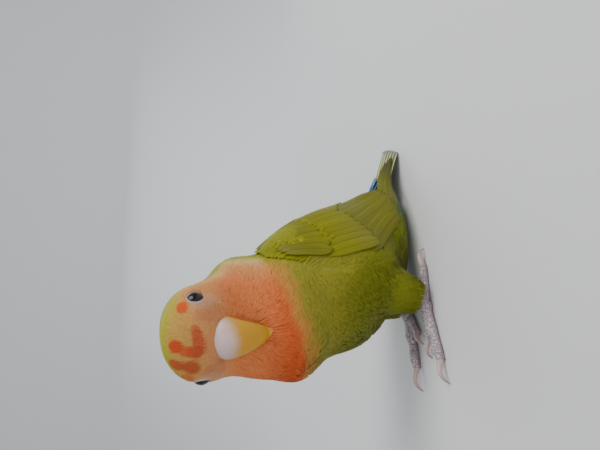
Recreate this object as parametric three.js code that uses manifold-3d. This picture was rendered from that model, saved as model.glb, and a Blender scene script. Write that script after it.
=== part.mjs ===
// Peach faced lovebird standing at rest, life size, head turned to its left.
// Millimetres, +Z up, the bird faces -Y and its left side is +X.
import * as THREE from "three";
import Module from "manifold-3d";

const wasm = await Module();
wasm.setup();
const { Manifold, Mesh: SolidMesh } = wasm;

// Small helpers
const RAD = Math.PI / 180;
const vec = (x, y, z) => new THREE.Vector3(x, y, z);
const lerp = (a, b, w) => a + (b - a) * w;
const clamp01 = (x) => Math.min(1, Math.max(0, x));
const UP = vec(0, 0, 1);

/** Value at x in a table of [x, value] rows sorted by x, linear between rows. */
function along(table, x) {
  if (x <= table[0][0]) return table[0][1];
  for (let i = 1; i < table.length; i++) {
    const [x0, v0] = table[i - 1];
    const [x1, v1] = table[i];
    if (x <= x1) return lerp(v0, v1, (x - x0) / (x1 - x0));
  }
  return table[table.length - 1][1];
}

/** Repeatable numbers from 0 to 1, the same row for the same seed. */
function seeded(seed) {
  let state = seed >>> 0;
  return () => {
    state = (Math.imul(state, 1664525) + 1013904223) >>> 0;
    return state / 2 ** 32;
  };
}

// Clearance between nodes, and a block larger than the bird
const GAP = 0.3;
const HUGE = 300;

// Head pose: centre of the skull, then turn to the left, nod and lean
const HEAD = { at: vec(4.2, -5.9, 73.4), yaw: 51, pitch: 24, lean: 7 };
const headTurn = new THREE.Matrix4().makeRotationFromEuler(
  new THREE.Euler(HEAD.pitch * RAD, -HEAD.lean * RAD, HEAD.yaw * RAD, "ZXY"),
);
const headFrame = headTurn.clone().setPosition(HEAD.at);
const onHead = (x, y, z) => vec(x, y, z).applyMatrix4(headFrame);

// Body masses: name, frame, centre, half sizes, nod in degrees, mirrored over the midline
const MASSES = [
  { name: "skull", head: true, at: [0, -1.6, 0.3], size: [13.3, 14.2, 10.5] },
  { name: "face", head: true, at: [0, -7.5, 1.6], size: [12.1, 6.9, 10.3] },
  { name: "cheek", head: true, at: [5.5, -2.7, -6.3], size: [6.6, 8.4, 6.7], pair: true },
  { name: "neck", at: [1.9, 3.6, 60.8], size: [12.2, 17.2, 11.8] },
  { name: "crop", at: [1.4, -1.6, 53.5], size: [12.3, 17.8, 12.0] },
  { name: "breast", at: [0, 2.5, 42.9], size: [16.6, 22.1, 11.6] },
  { name: "trunk", at: [0, 13.0, 32.7], size: [19.8, 30.9, 20.6], nod: -55 },
  { name: "back", at: [0, 25.9, 31.5], size: [15.5, 18.5, 9.7], nod: -60 },
  { name: "belly", at: [0, 9.9, 26.5], size: [14.9, 17.6, 14.5] },
  { name: "left thigh", at: [11.1, 7.9, 20.6], size: [8.0, 10.0, 12.0] },
  { name: "right thigh", at: [-8.6, 13.2, 21.5], size: [7.6, 9.2, 11.0] },
  { name: "rump", at: [0, 33.4, 18.3], size: [12.5, 19.0, 9.5], nod: -36 },
  { name: "crissum", at: [1.2, 30.5, 8.3], size: [11.2, 17.5, 7.2], nod: -7 },
];
const TAIL_MASSES = [{ name: "tail root", at: [0, 55, 8.6], size: [9.5, 27, 4.6], nod: -15 }];
const BLEND = 7.0;

/** Each mass as an inverse frame and its half sizes, paired ones twice. */
function prepare(masses) {
  const ready = [];
  for (const mass of masses) {
    for (const side of mass.pair ? [1, -1] : [1]) {
      const frame = new THREE.Matrix4().makeRotationX((mass.nod ?? 0) * RAD);
      frame.setPosition(side * mass.at[0], mass.at[1], mass.at[2]);
      if (mass.head) frame.premultiply(headFrame);
      ready.push({ inverse: frame.invert(), size: vec(...mass.size) });
    }
  }
  return ready;
}

const scratchA = vec(0, 0, 0);
const scratchB = vec(0, 0, 0);

/** Smoothly joined distance to all masses: negative inside, close to millimetres near the skin. */
function fieldOf(ready, p) {
  let total = Infinity;
  for (const { inverse, size } of ready) {
    scratchA.copy(p).applyMatrix4(inverse).divide(size);
    scratchB.copy(scratchA).divide(size);
    const k0 = scratchA.length();
    const d = (k0 * (k0 - 1)) / (scratchB.length() + 1e-9);
    if (total === Infinity) total = d;
    else {
      const h = Math.max(BLEND - Math.abs(total - d), 0) / BLEND;
      total = Math.min(total, d) - (h * h * BLEND) / 4;
    }
  }
  return total;
}
const bodyMasses = prepare(MASSES);
const carrierMasses = prepare([...MASSES, ...TAIL_MASSES]);

// Spine from the end of the body up into the head; the tail line runs on behind it
const SPINE = [
  [0, 42, 12.5], [0, 34, 17.5], [0, 25, 24.5], [0, 17, 33],
  [0.2, 10, 43], [1, 4.5, 53], [2.5, 1, 62], [4.6, -3.2, 71],
].map((p) => vec(...p));
const TAIL_LINE = [[0, 84, 3], [0, 70, 5.5], [0, 56, 9]].map((p) => vec(...p));
const CAP_LOW = 0.1;
const CAP_HIGH = 0.76;
const STEP = (CAP_HIGH - CAP_LOW) / (SPINE.length - 1);

/** Point and direction on a smooth line through the given points at u counted in points. */
function onLine(points, u) {
  const last = points.length - 1;
  const i = Math.min(last - 1, Math.max(0, Math.floor(u)));
  const w = Math.min(last, Math.max(0, u)) - i;
  const pick = (k) => {
    if (k < 0) return points[0].clone().multiplyScalar(2).sub(points[1]);
    if (k > last) return points[last].clone().multiplyScalar(2).sub(points[last - 1]);
    return points[k];
  };
  const [a, b, c, d] = [pick(i - 1), pick(i), pick(i + 1), pick(i + 2)];
  const blend = (p, q, r, s) => (
    2 * q + (r - p) * w + (2 * p - 5 * q + 4 * r - s) * w * w + (3 * q - p - 3 * r + s) * w * w * w
  ) / 2;
  const slope = (p, q, r, s) => (
    r - p + 2 * (2 * p - 5 * q + 4 * r - s) * w + 3 * (3 * q - p - 3 * r + s) * w * w
  ) / 2;
  return {
    at: vec(blend(a.x, b.x, c.x, d.x), blend(a.y, b.y, c.y, d.y), blend(a.z, b.z, c.z, d.z)),
    dir: vec(slope(a.x, b.x, c.x, d.x), slope(a.y, b.y, c.y, d.y), slope(a.z, b.z, c.z, d.z)).normalize(),
  };
}

/** Ray out of the spine: t runs from the tail end to the crown, phi from the belly round by the left. */
function bodyRay(t, phi) {
  const { at, dir } = onLine(SPINE, clamp01((t - CAP_LOW) / (CAP_HIGH - CAP_LOW)) * (SPINE.length - 1));
  const side = vec(1, 0, 0).addScaledVector(dir, -dir.x).normalize();
  const front = dir.clone().cross(side).negate();
  const out = front.multiplyScalar(Math.cos(phi)).addScaledVector(side, Math.sin(phi));
  let rise = 0;
  if (t < CAP_LOW) rise = (t / CAP_LOW - 1) * (Math.PI / 2);
  if (t > CAP_HIGH) rise = ((t - CAP_HIGH) / (1 - CAP_HIGH)) * (Math.PI / 2);
  return { at, out: out.multiplyScalar(Math.cos(rise)).addScaledVector(dir, Math.sin(rise)) };
}

/** The same for the wings, on a spine that runs on along the tail. */
function carrierRay(t, phi) {
  const points = [...TAIL_LINE, ...SPINE];
  const { at, dir } = onLine(points, (t - CAP_LOW) / STEP + TAIL_LINE.length);
  const side = vec(1, 0, 0).addScaledVector(dir, -dir.x).normalize();
  const front = dir.clone().cross(side).negate();
  return { at, out: front.multiplyScalar(Math.cos(phi)).addScaledVector(side, Math.sin(phi)) };
}

/** First point along the ray where the field reaches the level. */
function march(masses, { at, out }, level) {
  let inside = 0;
  let outside = 1.5;
  const value = (r) => fieldOf(masses, at.clone().addScaledVector(out, r));
  while (value(outside) < level && outside < 60) {
    inside = outside;
    outside += 1.5;
  }
  for (let k = 0; k < 14; k++) {
    const middle = (inside + outside) / 2;
    if (value(middle) < level) inside = middle;
    else outside = middle;
  }
  return at.clone().addScaledVector(out, (inside + outside) / 2);
}
const onBody = (t, phi, level) => march(bodyMasses, bodyRay(t, phi), level);
const onCarrier = (t, phi, level) => march(carrierMasses, carrierRay(t, phi), level);

// Solids from rings and grids of points
function geometryOf(points, faces) {
  const geometry = new THREE.BufferGeometry();
  geometry.setAttribute("position", new THREE.Float32BufferAttribute(points.flatMap((p) => p.toArray()), 3));
  geometry.setIndex(faces.flat());
  return geometry;
}

/** Closed solid through rings of equally many points, each end closed by a fan. */
function loft(rings) {
  const count = rings[0].length;
  const points = rings.flat();
  const faces = [];
  for (let r = 0; r < rings.length - 1; r++) {
    for (let k = 0; k < count; k++) {
      const a = r * count + k;
      const b = r * count + ((k + 1) % count);
      faces.push([a, b, b + count], [a, b + count, a + count]);
    }
  }
  for (const [ring, flip] of [[0, true], [rings.length - 1, false]]) {
    const middle = vec(0, 0, 0);
    rings[ring].forEach((p) => middle.addScaledVector(p, 1 / count));
    const hub = points.push(middle) - 1;
    for (let k = 0; k < count; k++) {
      const a = ring * count + k;
      const b = ring * count + ((k + 1) % count);
      faces.push(flip ? [hub, b, a] : [hub, a, b]);
    }
  }
  return solid(geometryOf(points, faces));
}

/** Closed slab between two grids of the same rows and columns, diagonals alike on both faces. */
function slab(top, bottom) {
  const rows = top.length;
  const cols = top[0].length;
  const points = [...top.flat(), ...bottom.flat()];
  const lower = rows * cols;
  const faces = [];
  for (let r = 0; r < rows - 1; r++) {
    for (let c = 0; c < cols - 1; c++) {
      const a = r * cols + c;
      faces.push([a, a + 1, a + cols + 1], [a, a + cols + 1, a + cols]);
      faces.push([lower + a, lower + a + cols + 1, lower + a + 1]);
      faces.push([lower + a, lower + a + cols, lower + a + cols + 1]);
    }
  }
  const rim = [];
  for (let c = 0; c < cols - 1; c++) rim.push(c);
  for (let r = 0; r < rows - 1; r++) rim.push(r * cols + cols - 1);
  for (let c = cols - 1; c > 0; c--) rim.push((rows - 1) * cols + c);
  for (let r = rows - 1; r > 0; r--) rim.push(r * cols);
  rim.forEach((a, k) => {
    const b = rim[(k + 1) % rim.length];
    faces.push([a, lower + a, lower + b], [a, lower + b, b]);
  });
  return solid(geometryOf(points, faces));
}

/** The same surface with points in the same place made one. */
function merged(geometry) {
  const position = geometry.getAttribute("position");
  const found = new Map();
  const points = [];
  const remap = [];
  for (let i = 0; i < position.count; i++) {
    const p = vec(0, 0, 0).fromBufferAttribute(position, i);
    const key = p.toArray().map((x) => Math.round(x * 1e4)).join(",");
    if (!found.has(key)) {
      found.set(key, points.length);
      points.push(p);
    }
    remap.push(found.get(key));
  }
  const index = Array.from(geometry.getIndex().array, (i) => remap[i]);
  const faces = [];
  for (let i = 0; i < index.length; i += 3) {
    const [a, b, c] = index.slice(i, i + 3);
    if (a !== b && b !== c && a !== c) faces.push([a, b, c]);
  }
  return geometryOf(points, faces);
}

/** Solid for joining and cutting; turned outside out when its faces look inward. */
function solid(geometry) {
  const position = geometry.getAttribute("position");
  const index = Uint32Array.from(geometry.getIndex().array);
  const make = () => new Manifold(new SolidMesh({
    numProp: 3, vertProperties: Float32Array.from(position.array), triVerts: index,
  }));
  let result = make();
  if (result.volume() < 0) {
    for (let i = 0; i < index.length; i += 3) [index[i], index[i + 1]] = [index[i + 1], index[i]];
    result = make();
  }
  return result;
}

function largest(shape) {
  return shape.decompose().reduce((best, piece) => (piece.volume() > best.volume() ? piece : best));
}

const unite = (shapes) => Manifold.union(shapes);

/** Part of a shape on the side of a plane that the direction looks to. */
function beyond(shape, direction, point, gap) {
  const normal = direction.clone().normalize();
  const block = new THREE.BoxGeometry(HUGE, HUGE, HUGE);
  block.applyQuaternion(new THREE.Quaternion().setFromUnitVectors(UP, normal));
  const centre = point.clone().addScaledVector(normal, (gap - HUGE) / 2);
  block.translate(centre.x, centre.y, centre.z);
  return shape.subtract(solid(merged(block)));
}

/** Ellipsoid in its own frame, moved to where the matrix says. */
function ellipsoid(size, matrix, round = 24) {
  const sphere = new THREE.SphereGeometry(1, round, round / 2);
  sphere.scale(...size);
  sphere.applyMatrix4(matrix);
  return solid(merged(sphere));
}

function ball(centre, radius, round = 18) {
  return ellipsoid([radius, radius, radius], new THREE.Matrix4().setPosition(centre), round);
}

/** Tube of round rings along a line of points, each with its own radius. */
function tube(points, radii, count = 8, squash = 1) {
  const rings = points.map((p, i) => {
    const before = points[Math.max(0, i - 1)];
    const after = points[Math.min(points.length - 1, i + 1)];
    const dir = after.clone().sub(before).normalize();
    const side = vec(dir.y, -dir.x, 0);
    if (side.length() < 0.05) side.set(1, 0, 0);
    side.normalize();
    const up = side.clone().cross(dir).normalize();
    return Array.from({ length: count }, (_, k) => {
      const a = (2 * Math.PI * k) / count;
      return p.clone()
        .addScaledVector(side, radii[i] * Math.cos(a))
        .addScaledVector(up, radii[i] * squash * Math.sin(a));
    });
  });
  return loft(rings);
}

// Skin of the whole body as one closed surface
const RINGS = { low: 4, body: 20, high: 8, round: 32 };
function skinSolid(level) {
  const stations = [];
  for (let i = 1; i <= RINGS.low; i++) stations.push((CAP_LOW * i) / RINGS.low);
  for (let i = 1; i <= RINGS.body; i++) stations.push(lerp(CAP_LOW, CAP_HIGH, i / RINGS.body));
  for (let i = 1; i < RINGS.high; i++) stations.push(lerp(CAP_HIGH, 1, i / RINGS.high));
  const rings = stations.map((t) => Array.from(
    { length: RINGS.round },
    (_, k) => onBody(t, (2 * Math.PI * k) / RINGS.round, level),
  ));
  const points = [onBody(0, 0, level), ...rings.flat(), onBody(1, 0, level)];
  const faces = [];
  const n = RINGS.round;
  for (let k = 0; k < n; k++) {
    const next = (k + 1) % n;
    faces.push([0, 1 + next, 1 + k]);
    for (let r = 0; r < rings.length - 1; r++) {
      const a = 1 + r * n + k;
      const b = 1 + r * n + next;
      faces.push([a, b, b + n], [a, b + n, a + n]);
    }
    const top = 1 + (rings.length - 1) * n;
    faces.push([top + k, top + next, points.length - 1]);
  }
  return solid(geometryOf(points, faces));
}
const skin = skinSolid(0);
const skinGrown = skinSolid(GAP);

// Eyes and their bare rims
const EYE = { aside: 4.6, forward: 9.3, up: 3.1, ball: 3.6, opening: 2.7, rim: 3.75, rimTube: 0.7, sunk: 0.9, rimDepth: 0.5 };
const EYE_LOOK = { out: 76, up: 2 };
function eyeFrame(side) {
  const look = vec(
    side * Math.sin(EYE_LOOK.out * RAD) * Math.cos(EYE_LOOK.up * RAD),
    -Math.cos(EYE_LOOK.out * RAD) * Math.cos(EYE_LOOK.up * RAD),
    Math.sin(EYE_LOOK.up * RAD),
  ).transformDirection(headTurn);
  const aim = onHead(side * EYE.aside, -EYE.forward, EYE.up);
  const rest = march(bodyMasses, { at: aim, out: look }, 0);
  return { look, onSkin: rest, centre: rest.clone().addScaledVector(look, -EYE.ball + EYE.sunk) };
}
const eyes = { left: eyeFrame(1), right: eyeFrame(-1) };

function eyeRim({ look, centre }) {
  const lift = Math.sqrt(EYE.ball ** 2 - EYE.opening ** 2);
  const torus = new THREE.TorusGeometry(EYE.rim - EYE.rimTube * 0.6, EYE.rimTube, 6, 20);
  torus.applyQuaternion(new THREE.Quaternion().setFromUnitVectors(UP, look));
  const at = centre.clone().addScaledVector(look, lift - EYE.rimDepth);
  torus.translate(at.x, at.y, at.z);
  return solid(merged(torus));
}

// Bill: culmen line in front, cutting edge behind, both in the head's own frame
const UPPER_BILL = [
  { top: [-10.5, 1.6], low: [-8.5, -7.0], half: 5.9 },
  { top: [-14.6, 1.8], low: [-11.4, -7.6], half: 6.3 },
  { top: [-17.9, 0.2], low: [-13.3, -8.4], half: 6.1 },
  { top: [-20.2, -3.2], low: [-15.2, -9.9], half: 5.1 },
  { top: [-21.0, -7.4], low: [-16.4, -11.9], half: 4.0 },
  { top: [-20.6, -11.4], low: [-17.0, -14.0], half: 2.75 },
  { top: [-19.2, -14.6], low: [-17.1, -15.6], half: 1.5 },
  { top: [-17.7, -16.9], low: [-17.0, -17.1], half: 0.5 },
];
const LOWER_BILL = [
  { top: [-8.0, -7.8], low: [-4.5, -12.6], half: 4.7 },
  { top: [-11.0, -9.0], low: [-8.6, -13.2], half: 4.7 },
  { top: [-13.2, -10.6], low: [-11.6, -14.0], half: 4.0 },
  { top: [-14.8, -12.4], low: [-13.9, -14.6], half: 2.7 },
  { top: [-15.6, -14.2], low: [-15.2, -15.0], half: 1.1 },
];
const BILL_ROUND = { upper: 14, lower: 12, pinchUpper: 1.0, pinchLower: 0.9 };
function billSolid(sections, count, pinch) {
  const rings = sections.map(({ top, low, half }) => Array.from({ length: count }, (_, k) => {
    const a = (2 * Math.PI * k) / count;
    const w = (1 - Math.cos(a)) / 2;
    const wide = Math.sign(Math.sin(a)) * Math.abs(Math.sin(a)) ** pinch * half;
    return onHead(wide, lerp(top[0], low[0], w), lerp(top[1], low[1], w));
  }));
  return loft(rings);
}
/** The sections pushed outwards all round and at both ends. */
function grownSections(sections, by) {
  const grown = sections.map(({ top, low, half }) => {
    const across = Math.hypot(top[0] - low[0], top[1] - low[1]);
    const step = [(by * (top[0] - low[0])) / across, (by * (top[1] - low[1])) / across];
    return {
      top: [top[0] + step[0], top[1] + step[1]],
      low: [low[0] - step[0], low[1] - step[1]],
      half: half + by,
    };
  });
  const shift = (end, before) => {
    const run = Math.hypot(end.top[0] - before.top[0], end.top[1] - before.top[1]);
    const move = [0, 1].map((k) => (by * (end.top[k] - before.top[k])) / run);
    return { top: end.top.map((x, k) => x + move[k]), low: end.low.map((x, k) => x + move[k]), half: end.half };
  };
  const last = grown.length - 1;
  const first = shift(grown[0], grown[1]);
  const end = shift(grown[last], grown[last - 1]);
  return [first, ...grown.slice(1, last), end];
}
const NOSTRIL = { side: 2.6, forward: -16.9, up: 2.3, radius: 0.6 };
const CERE = { at: [0, -14.9, 1.4], size: [4.7, 2.5, 1.9], round: 14 };
function cereSolid(grow) {
  const place = headFrame.clone().multiply(new THREE.Matrix4().makeTranslation(...CERE.at));
  return ellipsoid(CERE.size.map((x) => x + grow), place, CERE.round);
}
function upperBill() {
  const nostrils = [1, -1].map((side) => ball(
    onHead(side * NOSTRIL.side, NOSTRIL.forward, NOSTRIL.up), NOSTRIL.radius, 8,
  ));
  return largest(unite([billSolid(UPPER_BILL, BILL_ROUND.upper, BILL_ROUND.pinchUpper), cereSolid(0)]).subtract(unite(nostrils)));
}
function lowerBill() {
  const grownUpper = billSolid(grownSections(UPPER_BILL, GAP), BILL_ROUND.upper, BILL_ROUND.pinchUpper);
  return largest(billSolid(LOWER_BILL, BILL_ROUND.lower, BILL_ROUND.pinchLower).subtract(grownUpper));
}
function billPocket() {
  return unite([
    billSolid(grownSections(UPPER_BILL, GAP), BILL_ROUND.upper, BILL_ROUND.pinchUpper),
    billSolid(grownSections(LOWER_BILL, GAP), BILL_ROUND.lower, BILL_ROUND.pinchLower),
    cereSolid(GAP),
  ]);
}

// Cuts between head, neck, torso and rump
const CUTS = [
  { name: "rump", point: vec(0, 31, 20), normal: vec(0, -0.75, 0.66) },
  { name: "torso", point: vec(0, 4, 51.5), normal: vec(0.05, -0.28, 0.96) },
  { name: "neck", point: vec(3, -1, 62.5), normal: vec(0.16, -0.12, 0.98) },
];

// Wings: a thin core that rides on the body and the tail line, and tiers of vanes rooted in it
const WING = {
  low: [
    [0.09, 60], [0.18, 50], [0.31, 52], [0.36, 56], [0.41, 71], [0.48, 88], [0.52, 104], [0.545, 120],
  ],
  high: [
    [0.07, 104], [0.11, 126], [0.2, 152], [0.3, 166], [0.45, 168], [0.5, 164], [0.53, 156], [0.545, 146],
  ],
  inner: 0.6,
  outer: 1.65,
  rim: 1.35,
  start: 0.545,
  end: 0.12,
  rows: 9,
  cols: 6,
  perMillimetre: { t: 0.008, phi: 9 },
};
const WING_SEED = 2;
const VANE = { thick: 0.55, tilt: 0.3, stations: [0, 0.5, 0.88, 1], widths: [0.7, 1, 0.8, 0.3] };

// Each tier from front to back of the wing: where its vanes root and end, and how high they lie
const TIERS = [
  {
    count: 4, half: [2.1, 1.9], lift: [1.2, 1.35],
    root: { t: [0.2, 0.17], phi: [62, 84] }, tip: { t: [-0.098, -0.065], phi: [52, 70] },
  },
  {
    count: 6, half: [3.0, 3.4], lift: [1.2, 1.9],
    root: { t: [0.34, 0.34], phi: [65, 140] }, tip: { t: [0.12, 0.075], phi: [63, 113] },
  },
  {
    count: 3, half: [3.7, 3.8], lift: [1.2, 2.1],
    root: { t: [0.49, 0.48], phi: [128, 160] }, tip: { t: [0.24, 0.15], phi: [118, 152] },
  },
  {
    count: 5, half: [3.5, 3.7], lift: [1.2, 2.5],
    root: { t: [0.42, 0.45], phi: [83, 136] }, tip: { t: [0.29, 0.29], phi: [65, 114] },
  },
  {
    count: 4, half: [3.4, 3.6], lift: [1.2, 2.3],
    root: { t: [0.5, 0.53], phi: [108, 144] }, tip: { t: [0.4, 0.385], phi: [83, 134] },
  },
];

/** The point moved along the slope of the field until it lies at the level. */
function toLevel(p, level) {
  const nudge = 0.05;
  const q = p.clone();
  for (let k = 0; k < 3; k++) {
    const here = fieldOf(carrierMasses, q);
    const slope = vec(
      fieldOf(carrierMasses, q.clone().add(vec(nudge, 0, 0))) - here,
      fieldOf(carrierMasses, q.clone().add(vec(0, nudge, 0))) - here,
      fieldOf(carrierMasses, q.clone().add(vec(0, 0, nudge))) - here,
    ).divideScalar(nudge);
    q.addScaledVector(slope, (level - here) / Math.max(slope.lengthSq(), 0.2));
  }
  return q;
}
function outward(p) {
  return toLevel(p, fieldOf(carrierMasses, p) + 1).sub(p).normalize();
}

/** One vane over the body: its outer edge rides up on the next vane below it. */
function wingVane(side, { root, tip, half, lift, grow }) {
  const centre = VANE.stations.map((w) => onCarrier(
    lerp(root[0], tip[0], w), side * lerp(root[1], tip[1], w) * RAD, lerp(lift[0], lift[1], Math.sqrt(w)),
  ));
  const top = [];
  const bottom = [];
  centre.forEach((p, i) => {
    const run = centre[Math.min(i + 1, centre.length - 1)].clone().sub(centre[Math.max(i - 1, 0)]).normalize();
    const across = outward(p).cross(run).normalize().multiplyScalar(side);
    const base = lerp(lift[0], lift[1], Math.sqrt(VANE.stations[i]));
    const upper = [];
    const under = [];
    for (const edge of [-1, 1]) {
      const q = p.clone().addScaledVector(across, edge * (half * VANE.widths[i] + grow));
      const level = base + edge * VANE.tilt;
      upper.push(toLevel(q, level + VANE.thick / 2 + grow));
      under.push(toLevel(q, level - VANE.thick / 2 - grow));
    }
    top.push(upper);
    bottom.push(under);
  });
  return slab(top, bottom);
}
function wingVanes(side, grow) {
  const vanes = [];
  const chance = seeded(WING_SEED);
  const stray = (reach) => reach * (2 * chance() - 1);
  for (const tier of TIERS) {
    for (let i = 0; i < tier.count; i++) {
      const w = i / (tier.count - 1);
      const bow = Math.sin(Math.PI * w);
      vanes.push(wingVane(side, {
        root: [lerp(...tier.root.t, w), lerp(...tier.root.phi, w)],
        tip: [lerp(...tier.tip.t, w) - 0.012 * bow + stray(0.004), lerp(...tier.tip.phi, w) + stray(0.8)],
        half: lerp(...tier.half, w),
        lift: tier.lift.map((level) => level + stray(0.05)),
        grow,
      }));
    }
  }
  return vanes;
}
function wingCore(side, grow) {
  const top = [];
  const bottom = [];
  for (let r = 0; r <= WING.rows; r++) {
    const t = lerp(WING.start, WING.end - grow * WING.perMillimetre.t, r / WING.rows);
    const upper = [];
    const under = [];
    for (let c = 0; c <= WING.cols; c++) {
      const w = c / WING.cols;
      const spread = grow * WING.perMillimetre.phi * (2 * w - 1);
      const phi = side * (lerp(along(WING.low, t), along(WING.high, t), w) + spread) * RAD;
      const level = lerp(WING.rim, WING.outer, Math.sin(Math.PI * w) ** 0.5);
      upper.push(onCarrier(t, phi, level + grow));
      under.push(onCarrier(t, phi, WING.inner - grow));
    }
    top.push(upper);
    bottom.push(under);
  }
  return slab(top, bottom);
}
const wingSolid = (side, grow) => unite([wingCore(side, grow), ...wingVanes(side, grow)]);

// Tail: a low core laid to the floor and graduated feathers, the middle pair on top
const TAIL = {
  core: [
    { y: 44, z: 11.6, half: 6.0, thick: 6.5 },
    { y: 50, z: 9.8, half: 6.4, thick: 4.8 },
    { y: 57, z: 7.4, half: 6.2, thick: 2.8 },
    { y: 64, z: 5.4, half: 5.0, thick: 1.0 },
  ],
  pairs: 5,
  root: { y: 46, z: 12.4, spread: 0.9, drop: 0.9 },
  tip: { y: [76.5, 69], z: [2.2, 0.3], spread: 1.95 },
  half: [2.7, 2.2],
  coverts: { count: 5, root: [44, 14.6], tip: [60, 9.1], half: 2.9, spread: [1.3, 2.2], drop: 0.3 },
};
function floorVane(line, half, lean) {
  const top = [];
  const bottom = [];
  VANE.stations.forEach((w, i) => {
    const p = line(w);
    const upper = [];
    const under = [];
    for (const edge of [-1, 0, 1]) {
      const q = p.clone().add(vec(edge * half * VANE.widths[i], 0, -edge * lean - 0.25 * Math.abs(edge)));
      upper.push(q.clone().add(vec(0, 0, VANE.thick / 2)));
      under.push(q.clone().add(vec(0, 0, -VANE.thick / 2)));
    }
    top.push(upper);
    bottom.push(under);
  });
  return slab(top, bottom);
}
function tailSolidWhole() {
  const edges = [-1, -0.5, 0, 0.5, 1];
  const face = (sign) => TAIL.core.map(({ y, z, half, thick }) => edges.map(
    (w) => vec(w * half, y, z + sign * (thick / 2) * (1 - 0.45 * w * w) - 1.4 * w * w),
  ));
  const pieces = [slab(face(1), face(-1))];
  for (let i = 0; i < TAIL.pairs; i++) {
    const w = i / (TAIL.pairs - 1);
    for (const side of [1, -1]) {
      const x = side * (i + 0.5);
      const from = vec(x * TAIL.root.spread, TAIL.root.y, TAIL.root.z - i * TAIL.root.drop);
      const to = vec(x * TAIL.tip.spread, lerp(...TAIL.tip.y, w ** 1.3), lerp(...TAIL.tip.z, w));
      const line = (u) => vec(
        lerp(from.x, to.x, u ** 0.8), lerp(from.y, to.y, u), lerp(from.z, to.z, u ** 1.12),
      );
      pieces.push(floorVane(line, lerp(...TAIL.half, w), side * 0.3));
    }
  }
  const { count, root, tip, half, spread, drop } = TAIL.coverts;
  for (let i = 0; i < count; i++) {
    const x = i - (count - 1) / 2;
    const line = (u) => vec(
      x * lerp(spread[0], spread[1], u), lerp(root[0], tip[0] - 1.2 * x * x, u),
      lerp(root[1], tip[1], u) - drop * x * x * 1.6,
    );
    pieces.push(floorVane(line, half, Math.sign(x) * 0.3));
  }
  return beyond(unite(pieces), UP, vec(0, 0, 0), 0);
}

// Legs: feathered shank, bare foot with two toes before and two behind, and their claws
const LEG = {
  line: [[11, 7.5, 20], [11, 6.0, 14], [11, 4.6, 9.5], [10.8, 3.6, 6.4], [10.6, 3.0, 4.6]],
  radii: { left: [7.8, 7.2, 6.4, 5.0, 3.0], right: [7.0, 6.0, 4.8, 3.8, 2.7] },
  round: 16,
};
// The right leg stands closer to the middle and further back than the mirrored left one
const STANCE = { left: [0, 0, 0], right: [3.2, 6.5, 0] };
const FOOT = { heel: [10.7, 4.5, 6.0], knob: [10, 0, 1.8], shank: 1.9, ankle: 2.09, pad: 2.5 };
// Every toe: how many joints, how much they swell, how it thins, its height over the sole and its flatness
const TOE = { joints: 5, swell: 0.1, thick: 1.05, thin: 0.78, sole: 0.82, settle: 2.5, squash: 0.9, sides: 8 };
// Every claw: height of its root, rings, bend in radians, share of its length, hump, height of its tip and radii
const CLAW = { root: 1.25, rings: 5, bend: 1.25, share: 0.86, hump: 0.16, tip: 0.28, wide: 0.95, narrow: 0.2, sides: 7 };
const TOES = [
  { name: "front_outer", reach: 19.0, heading: 6, radius: 1.9, claw: 8.5 },
  { name: "front_inner", reach: 10.5, heading: -24, radius: 1.6, claw: 5.8 },
  { name: "back_outer", reach: 14.0, heading: 166, radius: 1.65, claw: 6.5 },
  { name: "back_inner", reach: 8.5, heading: 205, radius: 1.5, claw: 5.0 },
];
function placed(side, p) {
  const step = side > 0 ? STANCE.left : STANCE.right;
  return vec(side * p[0] + step[0], p[1] + step[1], p[2] + step[2]);
}
function toeDirection(side, heading) {
  return vec(side * Math.sin(heading * RAD), -Math.cos(heading * RAD), 0);
}
function footSolid(side, grow) {
  const knob = placed(side, FOOT.knob);
  const pieces = [
    tube([placed(side, FOOT.heel), knob], [FOOT.shank + grow, FOOT.ankle + grow], 10),
    ball(placed(side, FOOT.heel), FOOT.shank + grow, 10),
    ball(knob, FOOT.pad + grow, 12),
  ];
  for (const toe of TOES) {
    const dir = toeDirection(side, toe.heading);
    const points = [];
    const radii = [];
    for (let j = 0; j <= TOE.joints; j++) {
      const w = j / TOE.joints;
      const swell = 1 + TOE.swell * Math.cos(j * Math.PI);
      const radius = toe.radius * lerp(TOE.thick, TOE.thin, w) * swell + grow;
      const p = knob.clone().addScaledVector(dir, toe.reach * w);
      p.z = lerp(FOOT.knob[2], radius * TOE.sole, Math.min(1, w * TOE.settle));
      points.push(p);
      radii.push(radius);
    }
    pieces.push(tube(points, radii, TOE.sides, TOE.squash));
  }
  return largest(beyond(unite(pieces), UP, vec(0, 0, 0), 0));
}
function clawSolid(side, toe) {
  const dir = toeDirection(side, toe.heading);
  const knob = placed(side, FOOT.knob);
  const start = knob.clone().addScaledVector(dir, toe.reach + GAP * 1.5);
  start.z = CLAW.root;
  const points = [];
  const radii = [];
  for (let j = 0; j <= CLAW.rings; j++) {
    const w = j / CLAW.rings;
    const forward = toe.claw * CLAW.share * Math.sin(w * CLAW.bend) / Math.sin(CLAW.bend);
    const p = start.clone().addScaledVector(dir, forward);
    p.z = start.z + toe.claw * CLAW.hump * Math.sin(w * Math.PI) - w * w * (start.z - CLAW.tip);
    points.push(p);
    radii.push(lerp(CLAW.wide, CLAW.narrow, w));
  }
  return tube(points, radii, CLAW.sides);
}

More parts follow.
